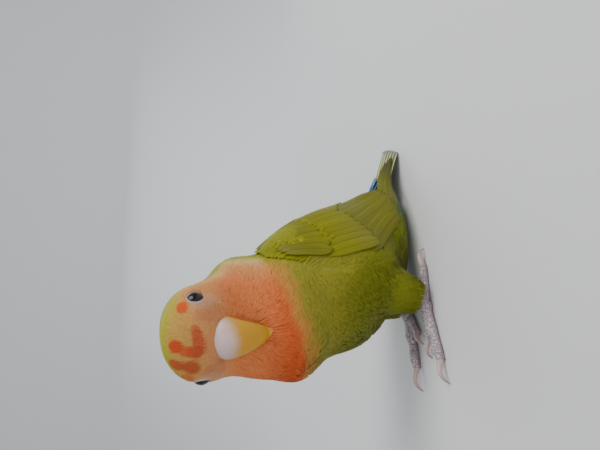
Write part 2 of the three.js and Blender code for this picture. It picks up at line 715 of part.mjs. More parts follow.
// Materials
const paint = (name, color, roughness) => {
  const material = new THREE.MeshStandardMaterial({ color, roughness, metalness: 0 });
  material.name = name;
  return material;
};
const MATERIALS = {
  peach: paint("peach_feathers", "#f08a55", 0.9),
  green: paint("green_feathers", "#8fae2b", 0.9),
  wing: paint("wing_feathers", "#6f8d1c", 0.85),
  tail: paint("tail_feathers", "#9db04a", 0.85),
  bill: paint("bill_horn", "#ecd9b4", 0.35),
  skin: paint("foot_skin", "#b3a1a6", 0.7),
  claw: paint("claw_horn", "#c9b3ac", 0.4),
  eye: paint("eye_gloss", "#140d0b", 0.08),
};

// Assembly
const bird = new THREE.Group();
bird.name = "peach_faced_lovebird";

function add(name, shape, material) {
  const mesh = shape.getMesh();
  const geometry = new THREE.BufferGeometry();
  const stride = mesh.numProp;
  const points = new Float32Array((mesh.vertProperties.length / stride) * 3);
  for (let i = 0; i < points.length / 3; i++) {
    for (let k = 0; k < 3; k++) points[i * 3 + k] = mesh.vertProperties[i * stride + k];
  }
  geometry.setAttribute("position", new THREE.BufferAttribute(points, 3));
  geometry.setIndex(Array.from(mesh.triVerts));
  geometry.computeVertexNormals();
  const node = new THREE.Mesh(geometry, material);
  node.name = name;
  bird.add(node);
}

const legFlesh = {};
for (const [name, side] of [["left", 1], ["right", -1]]) {
  legFlesh[name] = tube(LEG.line.map((p) => placed(side, p)), LEG.radii[name], LEG.round);
}
const eyeBalls = {
  left: ball(eyes.left.centre, EYE.ball),
  right: ball(eyes.right.centre, EYE.ball),
};
const sockets = unite([
  ball(eyes.left.centre, EYE.ball + GAP),
  ball(eyes.right.centre, EYE.ball + GAP),
]);
const withRims = unite([skin, eyeRim(eyes.left), eyeRim(eyes.right)]).subtract(sockets);
const flesh = withRims.subtract(billPocket());

let rest = flesh;
for (const { name, point, normal } of CUTS) {
  const below = beyond(rest, normal.clone().negate(), point, GAP);
  rest = beyond(rest, normal, point, GAP);
  add(name, largest(below), name === "neck" ? MATERIALS.peach : MATERIALS.green);
}
add("head", largest(rest), MATERIALS.peach);

add("bill_upper", upperBill(), MATERIALS.bill);
add("bill_lower", lowerBill(), MATERIALS.bill);
add("eye_left", eyeBalls.left, MATERIALS.eye);
add("eye_right", eyeBalls.right, MATERIALS.eye);

const wingRoom = unite([wingSolid(1, GAP), wingSolid(-1, GAP)]);
add("tail", largest(tailSolidWhole().subtract(skinGrown).subtract(wingRoom)), MATERIALS.tail);
for (const [name, side] of [["left", 1], ["right", -1]]) {
  const foot = footSolid(side, 0);
  const leg = largest(legFlesh[name].subtract(skinGrown).subtract(footSolid(side, GAP)));
  add(`wing_${name}`, largest(wingSolid(side, 0).subtract(skinGrown)), MATERIALS.wing);
  add(`leg_${name}`, leg, MATERIALS.green);
  add(`foot_${name}`, foot, MATERIALS.skin);
  for (const toe of TOES) add(`claw_${name}_${toe.name}`, clawSolid(side, toe), MATERIALS.claw);
}

// Origin at the middle of the footprint, on the floor
const box = new THREE.Box3().setFromObject(bird);
const middle = box.getCenter(vec(0, 0, 0));
for (const node of bird.children) node.geometry.translate(-middle.x, -middle.y, -box.min.z);

export default bird;
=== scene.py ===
"""Peach faced lovebird at rest, dressed over its solids: skin, coat, wings, tail, bill, eyes and feet."""
import logging
from dataclasses import dataclass, field
from enum import Enum
from typing import Callable, Sequence

import bpy
import numpy as np
from mathutils import Matrix


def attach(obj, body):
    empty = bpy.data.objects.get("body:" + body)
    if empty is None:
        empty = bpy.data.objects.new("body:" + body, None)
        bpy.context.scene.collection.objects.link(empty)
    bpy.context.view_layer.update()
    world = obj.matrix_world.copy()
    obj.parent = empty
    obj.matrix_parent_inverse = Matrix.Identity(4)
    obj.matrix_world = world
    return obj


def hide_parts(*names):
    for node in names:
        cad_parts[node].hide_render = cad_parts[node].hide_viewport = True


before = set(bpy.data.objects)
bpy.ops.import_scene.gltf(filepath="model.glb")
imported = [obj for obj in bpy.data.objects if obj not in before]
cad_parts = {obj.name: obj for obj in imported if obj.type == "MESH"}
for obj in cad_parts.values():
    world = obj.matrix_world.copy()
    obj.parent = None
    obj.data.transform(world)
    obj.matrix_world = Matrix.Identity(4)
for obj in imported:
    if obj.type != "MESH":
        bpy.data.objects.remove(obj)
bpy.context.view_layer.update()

LOG = logging.getLogger("lovebird")
MM = 0.001
BODY = "root"
ORIGIN = np.array([0.0879, 24.867, 0.0])
SEED = 7
PLUMAGE = "plumage"
BAKE_MAP = "OFBake"
VANE_MAP = "Vane"
TUFT_PATCH = 0.003
Array = np.ndarray
Socket = bpy.types.NodeSocket
Colour = tuple[int, int, int]
Place = tuple[float, float, float]
Edge = tuple[tuple[float, float], ...]


def unit(rows: Array) -> Array:
    """Rows scaled to length one: v / |v|."""
    return rows / np.maximum(np.linalg.norm(rows, axis=-1, keepdims=True), 1e-9)


def smooth_step(x: Array, low: float, high: float) -> Array:
    """Soft step from 0 to 1: 3w^2 - 2w^3 with w = (x - low) / (high - low), kept within 0 and 1."""
    w = np.clip((x - low) / (high - low), 0, 1)
    return w * w * (3 - 2 * w)


def mix(a: Array, b: Array, w: Array) -> Array:
    """Blend of two values: a + (b - a) w."""
    return a + (b - a) * w


def across_flat(flow: Array, normal: Array) -> Array:
    """The part of a direction that lies in the surface: unit(d - n (d . n))."""
    return unit(flow - normal * np.sum(flow * normal, axis=-1, keepdims=True))


def linear(red: int, green: int, blue: int) -> Array:
    """Linear light of a display colour: ((c / 255 + 0.055) / 1.055) ^ 2.4."""
    c = np.array([red, green, blue]) / 255
    return np.where(c <= 0.04045, c / 12.92, ((c + 0.055) / 1.055) ** 2.4)


def tint(tone: Array, colour: Colour, share: Array) -> Array:
    """Linear colours blended towards a display colour: t + (c - t) w, with one weight for each place."""
    return mix(tone, linear(*colour), share[..., None])


def turn_x(angle: float) -> Array:
    """Turn about X by an angle in degrees, as rows (1 0 0), (0 c -s), (0 s c)."""
    c, s = np.cos(np.radians(angle)), np.sin(np.radians(angle))
    return np.array([[1, 0, 0], [0, c, -s], [0, s, c]])


def turn_y(angle: float) -> Array:
    """Turn about Y by an angle in degrees, as rows (c 0 s), (0 1 0), (-s 0 c)."""
    c, s = np.cos(np.radians(angle)), np.sin(np.radians(angle))
    return np.array([[c, 0, s], [0, 1, 0], [-s, 0, c]])


def turn_z(angle: float) -> Array:
    """Turn about Z by an angle in degrees, as rows (c -s 0), (s c 0), (0 0 1)."""
    c, s = np.cos(np.radians(angle)), np.sin(np.radians(angle))
    return np.array([[c, -s, 0], [s, c, 0], [0, 0, 1]])


def smooth_line(points: Array, u: Array) -> tuple[Array, Array]:
    """Catmull-Rom curve: ((2q) + (r-p)w + (2p-5q+4r-s)w^2 + (3q-p-3r+s)w^3) / 2 on each span.

    Args:
        points: Points that the curve passes.
        u: Places along it, counted in points.

    Returns:
        Positions and unit directions at u.
    """
    last = len(points) - 1
    u = np.clip(u, 0, last)
    i = np.minimum(u.astype(int), last - 1)
    w = (u - i)[..., None]
    padded = np.concatenate([2 * points[:1] - points[1:2], points, 2 * points[-1:] - points[-2:-1]])
    p, q, r, s = padded[i], padded[i + 1], padded[i + 2], padded[i + 3]
    at = (2 * q + (r - p) * w + (2 * p - 5 * q + 4 * r - s) * w**2 + (3 * q - p - 3 * r + s) * w**3) / 2
    slope = (r - p + 2 * (2 * p - 5 * q + 4 * r - s) * w + 3 * (3 * q - p - 3 * r + s) * w**2) / 2
    return at, unit(slope)


class Side(Enum):
    """Left or right half of the bird; the value is the sign of X."""

    LEFT = 1
    RIGHT = -1

    @property
    def word(self) -> str:
        """Name of the side in node names."""
        return self.name.lower()

    def placed(self, points: Array) -> Array:
        """Leg points on this side: mirrored over X = 0, and the right ones moved in and back."""
        step = (0.0, 0.0, 0.0) if self is Side.LEFT else (3.2, 6.5, 0.0)
        return np.asarray(points, float) * np.array([self.value, 1, 1]) + np.array(step)


@dataclass(frozen=True)
class Mass:
    """One ellipsoid of the body, in millimetres, as the solids have it."""

    at: Place
    size: Place
    nod: float = 0.0
    head: bool = False
    pair: bool = False


@dataclass(frozen=True)
class HeadPose:
    """Where the head's own frame stands and how it is turned."""

    at: Place = (4.2, -5.9, 73.4)
    yaw: float = 51.0
    pitch: float = 24.0
    lean: float = 7.0

    def turn(self) -> Array:
        """Turn of the head: Z by the yaw, then X by the pitch, then Y by minus the lean."""
        return turn_z(self.yaw) @ turn_x(self.pitch) @ turn_y(-self.lean)

    def out(self, local: Array) -> Array:
        """Body place of a point in the head's frame: turn p + centre."""
        return np.asarray(local, float) @ self.turn().T + np.array(self.at)

    def into(self, points: Array) -> Array:
        """Head place of a body point: the turn undone on p - centre."""
        return (points - np.array(self.at)) @ self.turn()


@dataclass
class BodyForm:
    """The bird's outer form as a smooth field of ellipsoids, with rays out of its spine."""

    head: HeadPose = HeadPose()
    masses: tuple[Mass, ...] = (
        Mass((0, -1.6, 0.3), (13.3, 14.2, 10.5), head=True),
        Mass((0, -7.5, 1.6), (12.1, 6.9, 10.3), head=True),
        Mass((5.5, -2.7, -6.3), (6.6, 8.4, 6.7), head=True, pair=True),
        Mass((1.9, 3.6, 60.8), (12.2, 17.2, 11.8)),
        Mass((1.4, -1.6, 53.5), (12.3, 17.8, 12.0)),
        Mass((0, 2.5, 42.9), (16.6, 22.1, 11.6)),
        Mass((0, 13.0, 32.7), (19.8, 30.9, 20.6), nod=-55),
        Mass((0, 25.9, 31.5), (15.5, 18.5, 9.7), nod=-60),
        Mass((0, 9.9, 26.5), (14.9, 17.6, 14.5)),
        Mass((11.1, 7.9, 20.6), (8.0, 10.0, 12.0)),
        Mass((-8.6, 13.2, 21.5), (7.6, 9.2, 11.0)),
        Mass((0, 33.4, 18.3), (12.5, 19.0, 9.5), nod=-36),
        Mass((1.2, 30.5, 8.3), (11.2, 17.5, 7.2), nod=-7),
    )
    tail_root: Mass = Mass((0, 55, 8.6), (9.5, 27, 4.6), nod=-15)
    blend: float = 7.0
    spine: tuple[tuple[float, float, float], ...] = (
        (0, 42, 12.5), (0, 34, 17.5), (0, 25, 24.5), (0, 17, 33),
        (0.2, 10, 43), (1, 4.5, 53), (2.5, 1, 62), (4.6, -3.2, 71),
    )
    tail_line: tuple[tuple[float, float, float], ...] = ((0, 84, 3), (0, 70, 5.5), (0, 56, 9))
    cap_low: float = 0.1
    cap_high: float = 0.76

    def placed(self, with_tail: bool) -> list[tuple[Array, Array, Array]]:
        """Every ellipsoid as its centre, turn and half sizes, paired ones twice.

        Args:
            with_tail: Adds the root of the tail, which the wings ride on.

        Returns:
            One tuple for each ellipsoid.
        """
        ready = []
        for mass in self.masses + ((self.tail_root,) if with_tail else ()):
            for sign in (1, -1) if mass.pair else (1,):
                centre = np.array([sign * mass.at[0], mass.at[1], mass.at[2]])
                turn = turn_x(mass.nod)
                if mass.head:
                    centre = self.head.out(centre)
                    turn = self.head.turn() @ turn
                ready.append((centre, turn, np.array(mass.size)))
        return ready

    def field(self, points: Array, with_tail: bool = False) -> Array:
        """Joined distance: k0 (k0 - 1) / k1 of each ellipsoid, merged by min(a, b) - h^2 blend / 4.

        Args:
            points: Places in millimetres.
            with_tail: Reads the tail root as well.

        Returns:
            Values that are negative inside and near to millimetres at the surface.
        """
        total = None
        for centre, turn, size in self.placed(with_tail):
            local = (points - centre) @ turn / size
            k0 = np.linalg.norm(local, axis=-1)
            d = k0 * (k0 - 1) / (np.linalg.norm(local / size, axis=-1) + 1e-9)
            if total is None:
                total = d
                continue
            h = np.maximum(self.blend - np.abs(total - d), 0) / self.blend
            total = np.minimum(total, d) - h * h * self.blend / 4
        return total

    def normal(self, points: Array, with_tail: bool = False) -> Array:
        """Outward normal from the field's differences over 0.1 mm on each axis."""
        step = np.eye(3) * 0.05
        slope = [
            self.field(points + row, with_tail) - self.field(points - row, with_tail)
            for row in step
        ]
        return unit(np.stack(slope, axis=-1))

    def ray(self, t: Array, phi: Array, with_tail: bool = False) -> tuple[Array, Array]:
        """Ray out of the spine: front cos(phi) + side sin(phi), tipped towards the spine's ends in its caps.

        Args:
            t: Place along the bird, 0 at the tail end and 1 at the crown.
            phi: Angle from the belly round by the left, in radians.
            with_tail: Uses the spine that runs on along the tail.

        Returns:
            Starts and directions of the rays.
        """
        step = (self.cap_high - self.cap_low) / (len(self.spine) - 1)
        if with_tail:
            line = np.array(self.tail_line + self.spine, float)
            at, along = smooth_line(line, (t - self.cap_low) / step + len(self.tail_line))
        else:
            at, along = smooth_line(np.array(self.spine, float), (t - self.cap_low) / step)
        side = unit(np.array([1.0, 0, 0]) - along * along[..., :1])
        front = -np.cross(along, side)
        out = front * np.cos(phi)[..., None] + side * np.sin(phi)[..., None]
        if with_tail:
            return at, out
        rise = np.where(t < self.cap_low, t / self.cap_low - 1, 0)
        rise = np.where(t > self.cap_high, (t - self.cap_high) / (1 - self.cap_high), rise) * np.pi / 2
        return at, out * np.cos(rise)[..., None] + along * np.sin(rise)[..., None]

    def surface(self, t: Array, phi: Array, level: Array | float, with_tail: bool = False) -> Array:
        """Places on the field's level along the rays, found by steps outwards and halving.

        Args:
            t: Places along the bird.
            phi: Angles round it, in radians.
            level: Field value wanted at each place.
            with_tail: Reads the tail root as well.

        Returns:
            Points in millimetres.
        """
        start, out = self.ray(t, phi, with_tail)
        near = np.zeros(t.shape)
        far = np.full(t.shape, 1.5)
        for _ in range(28):
            short = self.field(start + out * far[..., None], with_tail) < level
            if not short.any():
                break
            near = np.where(short, far, near)
            far = np.where(short, far + 1.5, far)
        for _ in range(12):
            middle = (near + far) / 2
            short = self.field(start + out * middle[..., None], with_tail) < level
            near = np.where(short, middle, near)
            far = np.where(short, far, middle)
        return start + out * ((near + far) / 2)[..., None]

    def coat_field(self, points: Array, reach: float = 4.0) -> Array:
        """Field of body and shanks together, merged softly where a shank leaves the body.

        Args:
            points: Places in millimetres.
            reach: Width of the merge.

        Returns:
            Values as the body's field gives.
        """
        total = self.field(points)
        for side in Side:
            leg = Shank(side).distance(points)
            h = np.maximum(reach - np.abs(total - leg), 0) / reach
            total = np.minimum(total, leg) - h * h * reach / 4
        return total

    def to_level(
        self, points: Array, level: Array | float, with_tail: bool = False, rounds: int = 2,
    ) -> Array:
        """Points moved along the field's normal by level - field, a few times.

        Args:
            points: Places near the surface.
            level: Field value wanted.
            with_tail: Reads the tail root as well.
            rounds: How many times the move is made.

        Returns:
            Moved points.
        """
        for _ in range(rounds):
            gap = level - self.field(points, with_tail)
            points = points + self.normal(points, with_tail) * gap[..., None]
        return points


@dataclass(frozen=True)
class Spot:
    """A soft patch of one colour round a point of the head's frame."""

    at: Place
    reach: Place
    colour: Colour
    strength: float = 1.0


@dataclass
class Markings:
    """Colours of the plumage as functions of place, shared by skin and coat."""

    form: BodyForm
    orange: Colour = (228, 126, 70)
    deep: Colour = (206, 84, 32)
    peach: Colour = (220, 148, 92)
    tan: Colour = (208, 156, 80)
    cream: Colour = (216, 186, 118)
    crown: Colour = (178, 170, 50)
    green: Colour = (150, 158, 44)
    # The breast and belly greens are made darker than the plumage's own, partly as painted shade of the
    # lower body; the belly, at the bottom, is darkest.
    breast: Colour = (144, 138, 42)
    belly: Colour = (108, 113, 13)
    back: Colour = (138, 150, 26)
    rump: Colour = (64, 98, 200)
    vent: Colour = (128, 144, 24)
    spots: tuple[Spot, ...] = (
        Spot((1.2, -15.7, 5.6), (4.0, 3.2, 1.7), (200, 84, 48), 0.9),
        Spot((-1.7, -15.2, 6.6), (2.1, 3.0, 2.4), (198, 82, 46), 0.9),
        Spot((4.2, -15.1, 5.9), (1.6, 2.4, 1.5), (204, 90, 52), 0.7),
        Spot((-1.6, -14.0, 8.5), (1.8, 2.6, 2.2), (206, 84, 42), 0.85),
        Spot((-0.2, -11.8, 10.9), (2.1, 2.6, 2.5), (208, 78, 36)),
        Spot((-5.8, -10.2, 10.4), (2.0, 2.8, 2.6), (196, 82, 44), 0.9),
        Spot((-6.6, -13.0, 7.0), (2.6, 3.0, 3.0), (190, 78, 42), 0.9),
        Spot((10.1, -10.5, 7.5), (2.0, 2.1, 2.0), (220, 88, 30)),
        Spot((-10.1, -10.5, 7.5), (2.0, 2.1, 2.0), (210, 88, 40), 0.6),
        Spot((8.3, -14.4, 0.8), (3.4, 3.2, 3.8), (200, 124, 86), 0.6),
        Spot((-8.3, -14.4, 0.8), (3.4, 3.2, 3.8), (200, 124, 86), 0.6),
        Spot((11.6, -12.4, 1.2), (2.8, 2.8, 4.8), (204, 166, 134), 0.45),
        Spot((-11.6, -12.4, 1.2), (2.8, 2.8, 4.8), (204, 166, 134), 0.45),
    )

    def colours(self, points: Array) -> Array:
        """Plumage colour at body places: bands along the body and head, then soft spots.

        Args:
            points: Places near the surface, in millimetres.

        Returns:
            Linear colours, one row for each place.
        """
        local = self.form.head.into(points)
        x, y, z = points[..., 0], points[..., 1], points[..., 2]
        wave = 0.7 * np.sin(x * 0.9 + z * 0.5) + 0.5 * np.sin(y * 1.3 - x * 0.7)
        tone = self._torso(y, z, wave)
        tone = self._bib(tone, x, y, z, wave)
        return self._head(tone, local, wave)

    def _torso(self, y: Array, z: Array, wave: Array) -> Array:
        """Breast to belly by height, darker towards the bottom partly as painted shade, back by depth, blue
        over the rump and green at the vent.
        """
        # The darker belly colour below is partly painted shade.
        tone = tint(linear(*self.belly), self.breast, smooth_step(z + wave, 20, 38))
        behind = y - (34 - 0.62 * z)
        tone = tint(tone, self.back, smooth_step(behind + wave, 2, 10))
        blue = smooth_step(behind + wave * 0.6, 6, 9) * smooth_step(y + wave, 34, 39) * smooth_step(z, 9, 12)
        tone = tint(tone, self.rump, blue)
        under = smooth_step(y, 20, 30) * smooth_step(-z, -12, -8)
        return tint(tone, self.vent, under)

    def _bib(self, tone: Array, x: Array, y: Array, z: Array, wave: Array) -> Array:
        """Orange bib that ends in a fringe over the breast and fades to cream at the sides of the neck."""
        reach = z - 0.45 * y
        fringe = smooth_step(reach + wave * 1.2, 41.0, 48.0) * smooth_step(-y + 0.25 * np.abs(x), -12, -3)
        tone = tint(tone, self.orange, 0.55 * fringe)
        bib = smooth_step(reach + wave * 0.5, 46.5, 50.5)
        neck = tint(linear(*self.deep), self.orange, smooth_step(z, 43, 58))
        rear = smooth_step(y - 0.12 * z, -4.0, 4.5)
        neck = tint(neck, self.peach, rear)
        neck = tint(neck, self.cream, smooth_step(y - 0.12 * z, 3.5, 7.0))
        neck = tint(neck, self.green, smooth_step(y - 0.12 * z, 6.5, 10.5))
        return mix(tone, neck, bib[..., None])

    def _head(self, tone: Array, local: Array, wave: Array) -> Array:
        """Peach face and orange cheeks that turn cream, then yellow-green at the crown's rim and nape."""
        y, z = local[..., 1], local[..., 2]
        face = tint(linear(*self.orange), self.peach, smooth_step(z, -9, 0))
        face = tint(face, self.tan, smooth_step(z, 3, 9))
        fade = smooth_step(y + 0.1 * z + wave * 0.4, -7.5, 0.5)
        face = tint(face, self.cream, 0.8 * fade)
        rim = smooth_step(z + 0.45 * y + wave * 0.3, 2.0, 6.5) * smooth_step(y, -13.0, -5.0)
        top = np.maximum(smooth_step(z + wave * 0.3, 9.5, 12.0) * smooth_step(y, -12.5, -7.5), rim)
        face = tint(face, self.crown, top)
        nape = smooth_step(y + 0.3 * z + wave * 0.4, -1.5, 2.5)
        face = tint(face, self.green, nape)
        share = smooth_step(z + 0.3 * y, -13.5, -8.5)
        tone = mix(tone, face, share[..., None])
        for spot in self.spots:
            far = np.linalg.norm((local - np.array(spot.at)) / np.array(spot.reach), axis=-1)
            weight = spot.strength * (1 - smooth_step(far + 0.12 * wave, 0.7, 1.15))
            tone = tint(tone, spot.colour, weight)
        return tone


def paint(mesh: bpy.types.Mesh, colours: Array) -> None:
    """Writes one linear colour for each point into the mesh's plumage attribute.

    Args:
        mesh: The mesh.
        colours: Linear colours, one row for each point.
    """
    layer = mesh.color_attributes.new(PLUMAGE, "FLOAT_COLOR", "POINT")
    rows = np.concatenate([colours, np.ones((len(colours), 1))], axis=1)
    layer.data.foreach_set("color", rows.astype(np.float32).ravel())


def along_edge(edge: Edge, at: Array) -> Array:
    """Values of an edge, a row of places and values, read in between at the wanted places."""
    return np.interp(at, *np.array(edge).T)


@dataclass
class MeshPiece:
    """One mesh of the bird: points in millimetres, faces, and what it carries for its finish."""

    name: str
    points: Array
    faces: list[Array]
    material: bpy.types.Material
    slot: str
    colours: Array | None = None
    maps: dict[str, Array] = field(default_factory=dict)
    replaces: tuple[str, ...] = ()
    smooth: bool = True
    normals: Array | None = None

    def build(self) -> bpy.types.Object:
        """Puts the arrays into a mesh, gives it its finish and ties it to the body.

        Returns:
            The new object, at the origin and unturned.
        """
        mesh = bpy.data.meshes.new(self.name)
        sizes = np.concatenate([np.full(len(block), block.shape[1]) for block in self.faces])
        corners = np.concatenate([block.ravel() for block in self.faces]).astype(np.int32)
        mesh.vertices.add(len(self.points))
        mesh.vertices.foreach_set("co", ((self.points - ORIGIN) * MM).astype(np.float32).ravel())
        mesh.loops.add(len(corners))
        mesh.loops.foreach_set("vertex_index", corners)
        mesh.polygons.add(len(sizes))
        starts = np.concatenate([[0], np.cumsum(sizes)[:-1]]).astype(np.int32)
        mesh.polygons.foreach_set("loop_start", starts)
        mesh.polygons.foreach_set("use_smooth", np.full(len(sizes), self.smooth))
        mesh.update(calc_edges=True)
        mesh.validate()
        if self.normals is not None:
            mesh.normals_split_custom_set_from_vertices(self.normals.astype(float).tolist())
        if self.colours is not None:
            paint(mesh, self.colours)
        for title, places in self.maps.items():
            layer = mesh.uv_layers.new(name=title)
            layer.data.foreach_set("uv", places[corners].astype(np.float32).ravel())
        mesh.materials.append(self.material)
        piece = bpy.data.objects.new(self.name, mesh)
        bpy.context.scene.collection.objects.link(piece)
        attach(piece, BODY)
        if self.replaces:
            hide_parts(*self.replaces)
        LOG.info("%s: %d points, %d faces", self.name, len(self.points), len(sizes))
        return piece


def grid_faces(rows: int, cols: int, wrap_rows: bool = False, wrap_cols: bool = False) -> Array:
    """Quads of a grid whose point (r, c) has the number r cols + c.

    Args:
        rows: Number of rows.
        cols: Number of columns.
        wrap_rows: The last row meets the first.
        wrap_cols: The last column meets the first.

    Returns:
        Quads as rows of four numbers.
    """
    r = np.arange(rows if wrap_rows else rows - 1)[:, None]
    c = np.arange(cols if wrap_cols else cols - 1)[None, :]
    a = r * cols + c
    b = r * cols + (c + 1) % cols
    d = ((r + 1) % rows) * cols + c
    e = ((r + 1) % rows) * cols + (c + 1) % cols
    return np.stack([a, b, e, d], axis=-1).reshape(-1, 4)


def tube_faces(rows: int, cols: int) -> list[Array]:
    """Faces of a closed tube of rings with one point at each end.

    The rings come first, row by row, then the first and the last end point.

    Args:
        rows: Number of rings.
        cols: Points in a ring.

    Returns:
        Quads of the wall and triangles of both ends.
    """
    c = np.arange(cols)
    after = (c + 1) % cols
    first = np.stack([np.full(cols, rows * cols), after, c], axis=-1)
    low = (rows - 1) * cols
    last = np.stack([np.full(cols, rows * cols + 1), low + c, low + after], axis=-1)
    return [grid_faces(rows, cols, wrap_cols=True), np.concatenate([first, last])]


def ball_angles(rows: int, cols: int) -> tuple[Array, Array]:
    """Angles from the pole and round it: every ring of a ball, then its two poles.

    Args:
        rows: Number of rings.
        cols: Points in a ring.

    Returns:
        Both angles of each point, in radians.
    """
    polar = np.linspace(0, np.pi, rows + 2)[1:-1]
    polar, turn = np.meshgrid(polar, np.arange(cols) * 2 * np.pi / cols, indexing="ij")
    return np.append(polar, [0, np.pi]), np.append(turn, [0, 0])


def outward(points: Array, faces: list[Array]) -> list[Array]:
    """Faces turned round when the volume they enclose, the sum of a . (b x c) / 6, is negative.

    Args:
        points: Points of a closed mesh.
        faces: Its faces.

    Returns:
        Faces that look outwards.
    """
    total = 0.0
    for block in faces:
        a, b, c = points[block[:, 0]], points[block[:, 1]], points[block[:, 2]]
        total += np.sum(a * np.cross(b, c))
        if block.shape[1] == 4:
            d = points[block[:, 3]]
            total += np.sum(a * np.cross(c, d))
    return [block[:, ::-1] for block in faces] if total < 0 else faces


# Finishes


class Nodes:
    """Short calls for a material's or a group's node tree."""

    def __init__(self, tree: bpy.types.NodeTree) -> None:
        """Keeps the tree that the nodes go into."""
        self.tree = tree

    def add(self, kind: str, **values: object) -> bpy.types.Node:
        """One node with its own properties set.

        Args:
            kind: Node type without its ShaderNode start.
            **values: Properties by name.

        Returns:
            The new node.
        """
        node = self.tree.nodes.new(f"ShaderNode{kind}")
        for key, value in values.items():
            setattr(node, key, value)
        return node

    def join(self, source: object, target: Socket) -> None:
        """Links a socket to a target, or sets the target to a plain value."""
        if isinstance(source, Socket):
            self.tree.links.new(source, target)
        else:
            target.default_value = source

    def blend(self, mode: str, share: float | Socket, a: object, b: object) -> Socket:
        """A colour mix of a and b.

        Args:
            mode: Blend type such as MIX or MULTIPLY.
            share: Weight of b, as a number or a socket.
            a: First colour, as a tuple or a socket.
            b: Second colour, as a tuple or a socket.

        Returns:
            The mixed colour's socket.
        """
        node = self.add("Mix", data_type="RGBA", blend_type=mode)
        for value, slot in ((share, 0), (a, 6), (b, 7)):
            self.join(value, node.inputs[slot])
        return node.outputs[2]

    def math(self, kind: str, a: object, b: object = 0.0) -> Socket:
        """A sum, product or other number of a and b.

        Args:
            kind: Operation such as MULTIPLY.
            a: First number or socket.
            b: Second number or socket.

        Returns:
            The result's socket.
        """
        node = self.add("Math", operation=kind)
        for value, target in zip((a, b), node.inputs):
            self.join(value, target)
        return node.outputs[0]


class Effects:
    """Node groups that several finishes share."""

    def __init__(self) -> None:
        """Makes each group once."""
        self.mottle = self._mottle()
        self.barbs = self._barbs()
        self.scales = self._scales()

    @staticmethod
    def _group(name: str, inputs: dict[str, tuple[str, object]]) -> tuple:
        """A group that takes a colour and more, and gives a colour and a height.

        Args:
            name: Name of the group.
            inputs: Socket type and default value of each further input.

        Returns:
            The tree, its nodes helper, its input node and its output node.
        """
        tree = bpy.data.node_groups.new(name, "ShaderNodeTree")
        wanted = {"Colour": ("Color", (0.5, 0.5, 0.5, 1)), **inputs}
        for title, (kind, value) in wanted.items():
            socket = tree.interface.new_socket(title, in_out="INPUT", socket_type=f"NodeSocket{kind}")
            socket.default_value = value
        for title, kind in (("Colour", "Color"), ("Height", "Float")):
            tree.interface.new_socket(title, in_out="OUTPUT", socket_type=f"NodeSocket{kind}")
        return tree, Nodes(tree), tree.nodes.new("NodeGroupInput"), tree.nodes.new("NodeGroupOutput")

    def _mottle(self) -> bpy.types.NodeTree:
        """Two sizes of noise that darken and lighten a colour, and their height."""
        tree, nodes, given, result = self._group(
            "mottle",
            {"Dark": ("Color", (0.2, 0.2, 0.2, 1)), "Scale": ("Float", 400.0), "Amount": ("Float", 0.3)},
        )
        place = nodes.add("TexCoord").outputs["Object"]
        coarse = nodes.add("TexNoise")
        fine = nodes.add("TexNoise")
        for noise, factor in ((coarse, 1.0), (fine, 4.3)):
            nodes.join(place, noise.inputs["Vector"])
            nodes.join(nodes.math("MULTIPLY", given.outputs["Scale"], factor), noise.inputs["Scale"])
            noise.inputs["Detail"].default_value = 3.0
        total = nodes.math("MULTIPLY", nodes.math("ADD", coarse.outputs[0], fine.outputs[0]), 0.5)
        share = nodes.math("MULTIPLY", total, given.outputs["Amount"])
        toned = nodes.blend("MIX", share, given.outputs["Colour"], given.outputs["Dark"])
        nodes.join(toned, result.inputs["Colour"])
        nodes.join(total, result.inputs["Height"])
        return tree

    def _barbs(self) -> bpy.types.NodeTree:
        """Slanted barbs beside a feather's shaft, from its own map: sin(k (v - |u - 0.5| slope))."""
        tree, nodes, given, result = self._group(
            "barbs", {"Count": ("Float", 300.0), "Slope": ("Float", 0.5), "Depth": ("Float", 0.2)},
        )
        place = nodes.add("UVMap", uv_map=VANE_MAP)
        parts = nodes.add("SeparateXYZ")
        nodes.join(place.outputs["UV"], parts.inputs[0])
        from_shaft = nodes.math("ABSOLUTE", nodes.math("SUBTRACT", parts.outputs["X"], 0.5))
        fall = nodes.math("MULTIPLY", from_shaft, given.outputs["Slope"])
        slanted = nodes.math("SUBTRACT", parts.outputs["Y"], fall)
        wave = nodes.math("SINE", nodes.math("MULTIPLY", slanted, given.outputs["Count"]))
        height = nodes.math("ADD", nodes.math("MULTIPLY", wave, 0.5), 0.5)
        shaft = nodes.math("LESS_THAN", from_shaft, 0.035)
        share = nodes.math("MULTIPLY", height, given.outputs["Depth"])
        toned = nodes.blend("MULTIPLY", share, given.outputs["Colour"], (0.45, 0.45, 0.4, 1))
        toned = nodes.blend("MULTIPLY", nodes.math("MULTIPLY", shaft, 0.5), toned, (0.5, 0.4, 0.3, 1))
        nodes.join(toned, result.inputs["Colour"])
        nodes.join(nodes.math("ADD", height, shaft), result.inputs["Height"])
        return tree

    def _scales(self) -> bpy.types.NodeTree:
        """Small rounded scales with dark seams between them."""
        tree, nodes, given, result = self._group(
            "scales", {"Seam": ("Color", (0.2, 0.2, 0.2, 1)), "Scale": ("Float", 1200.0)},
        )
        place = nodes.add("TexCoord").outputs["Object"]
        cells = nodes.add("TexVoronoi", feature="DISTANCE_TO_EDGE")
        nodes.join(place, cells.inputs["Vector"])
        nodes.join(given.outputs["Scale"], cells.inputs["Scale"])
        edge = nodes.add("MapRange")
        nodes.join(cells.outputs["Distance"], edge.inputs["Value"])
        edge.inputs["From Max"].default_value = 0.16
        toned = nodes.blend("MIX", edge.outputs[0], given.outputs["Seam"], given.outputs["Colour"])
        nodes.join(toned, result.inputs["Colour"])
        nodes.join(edge.outputs[0], result.inputs["Height"])
        return tree


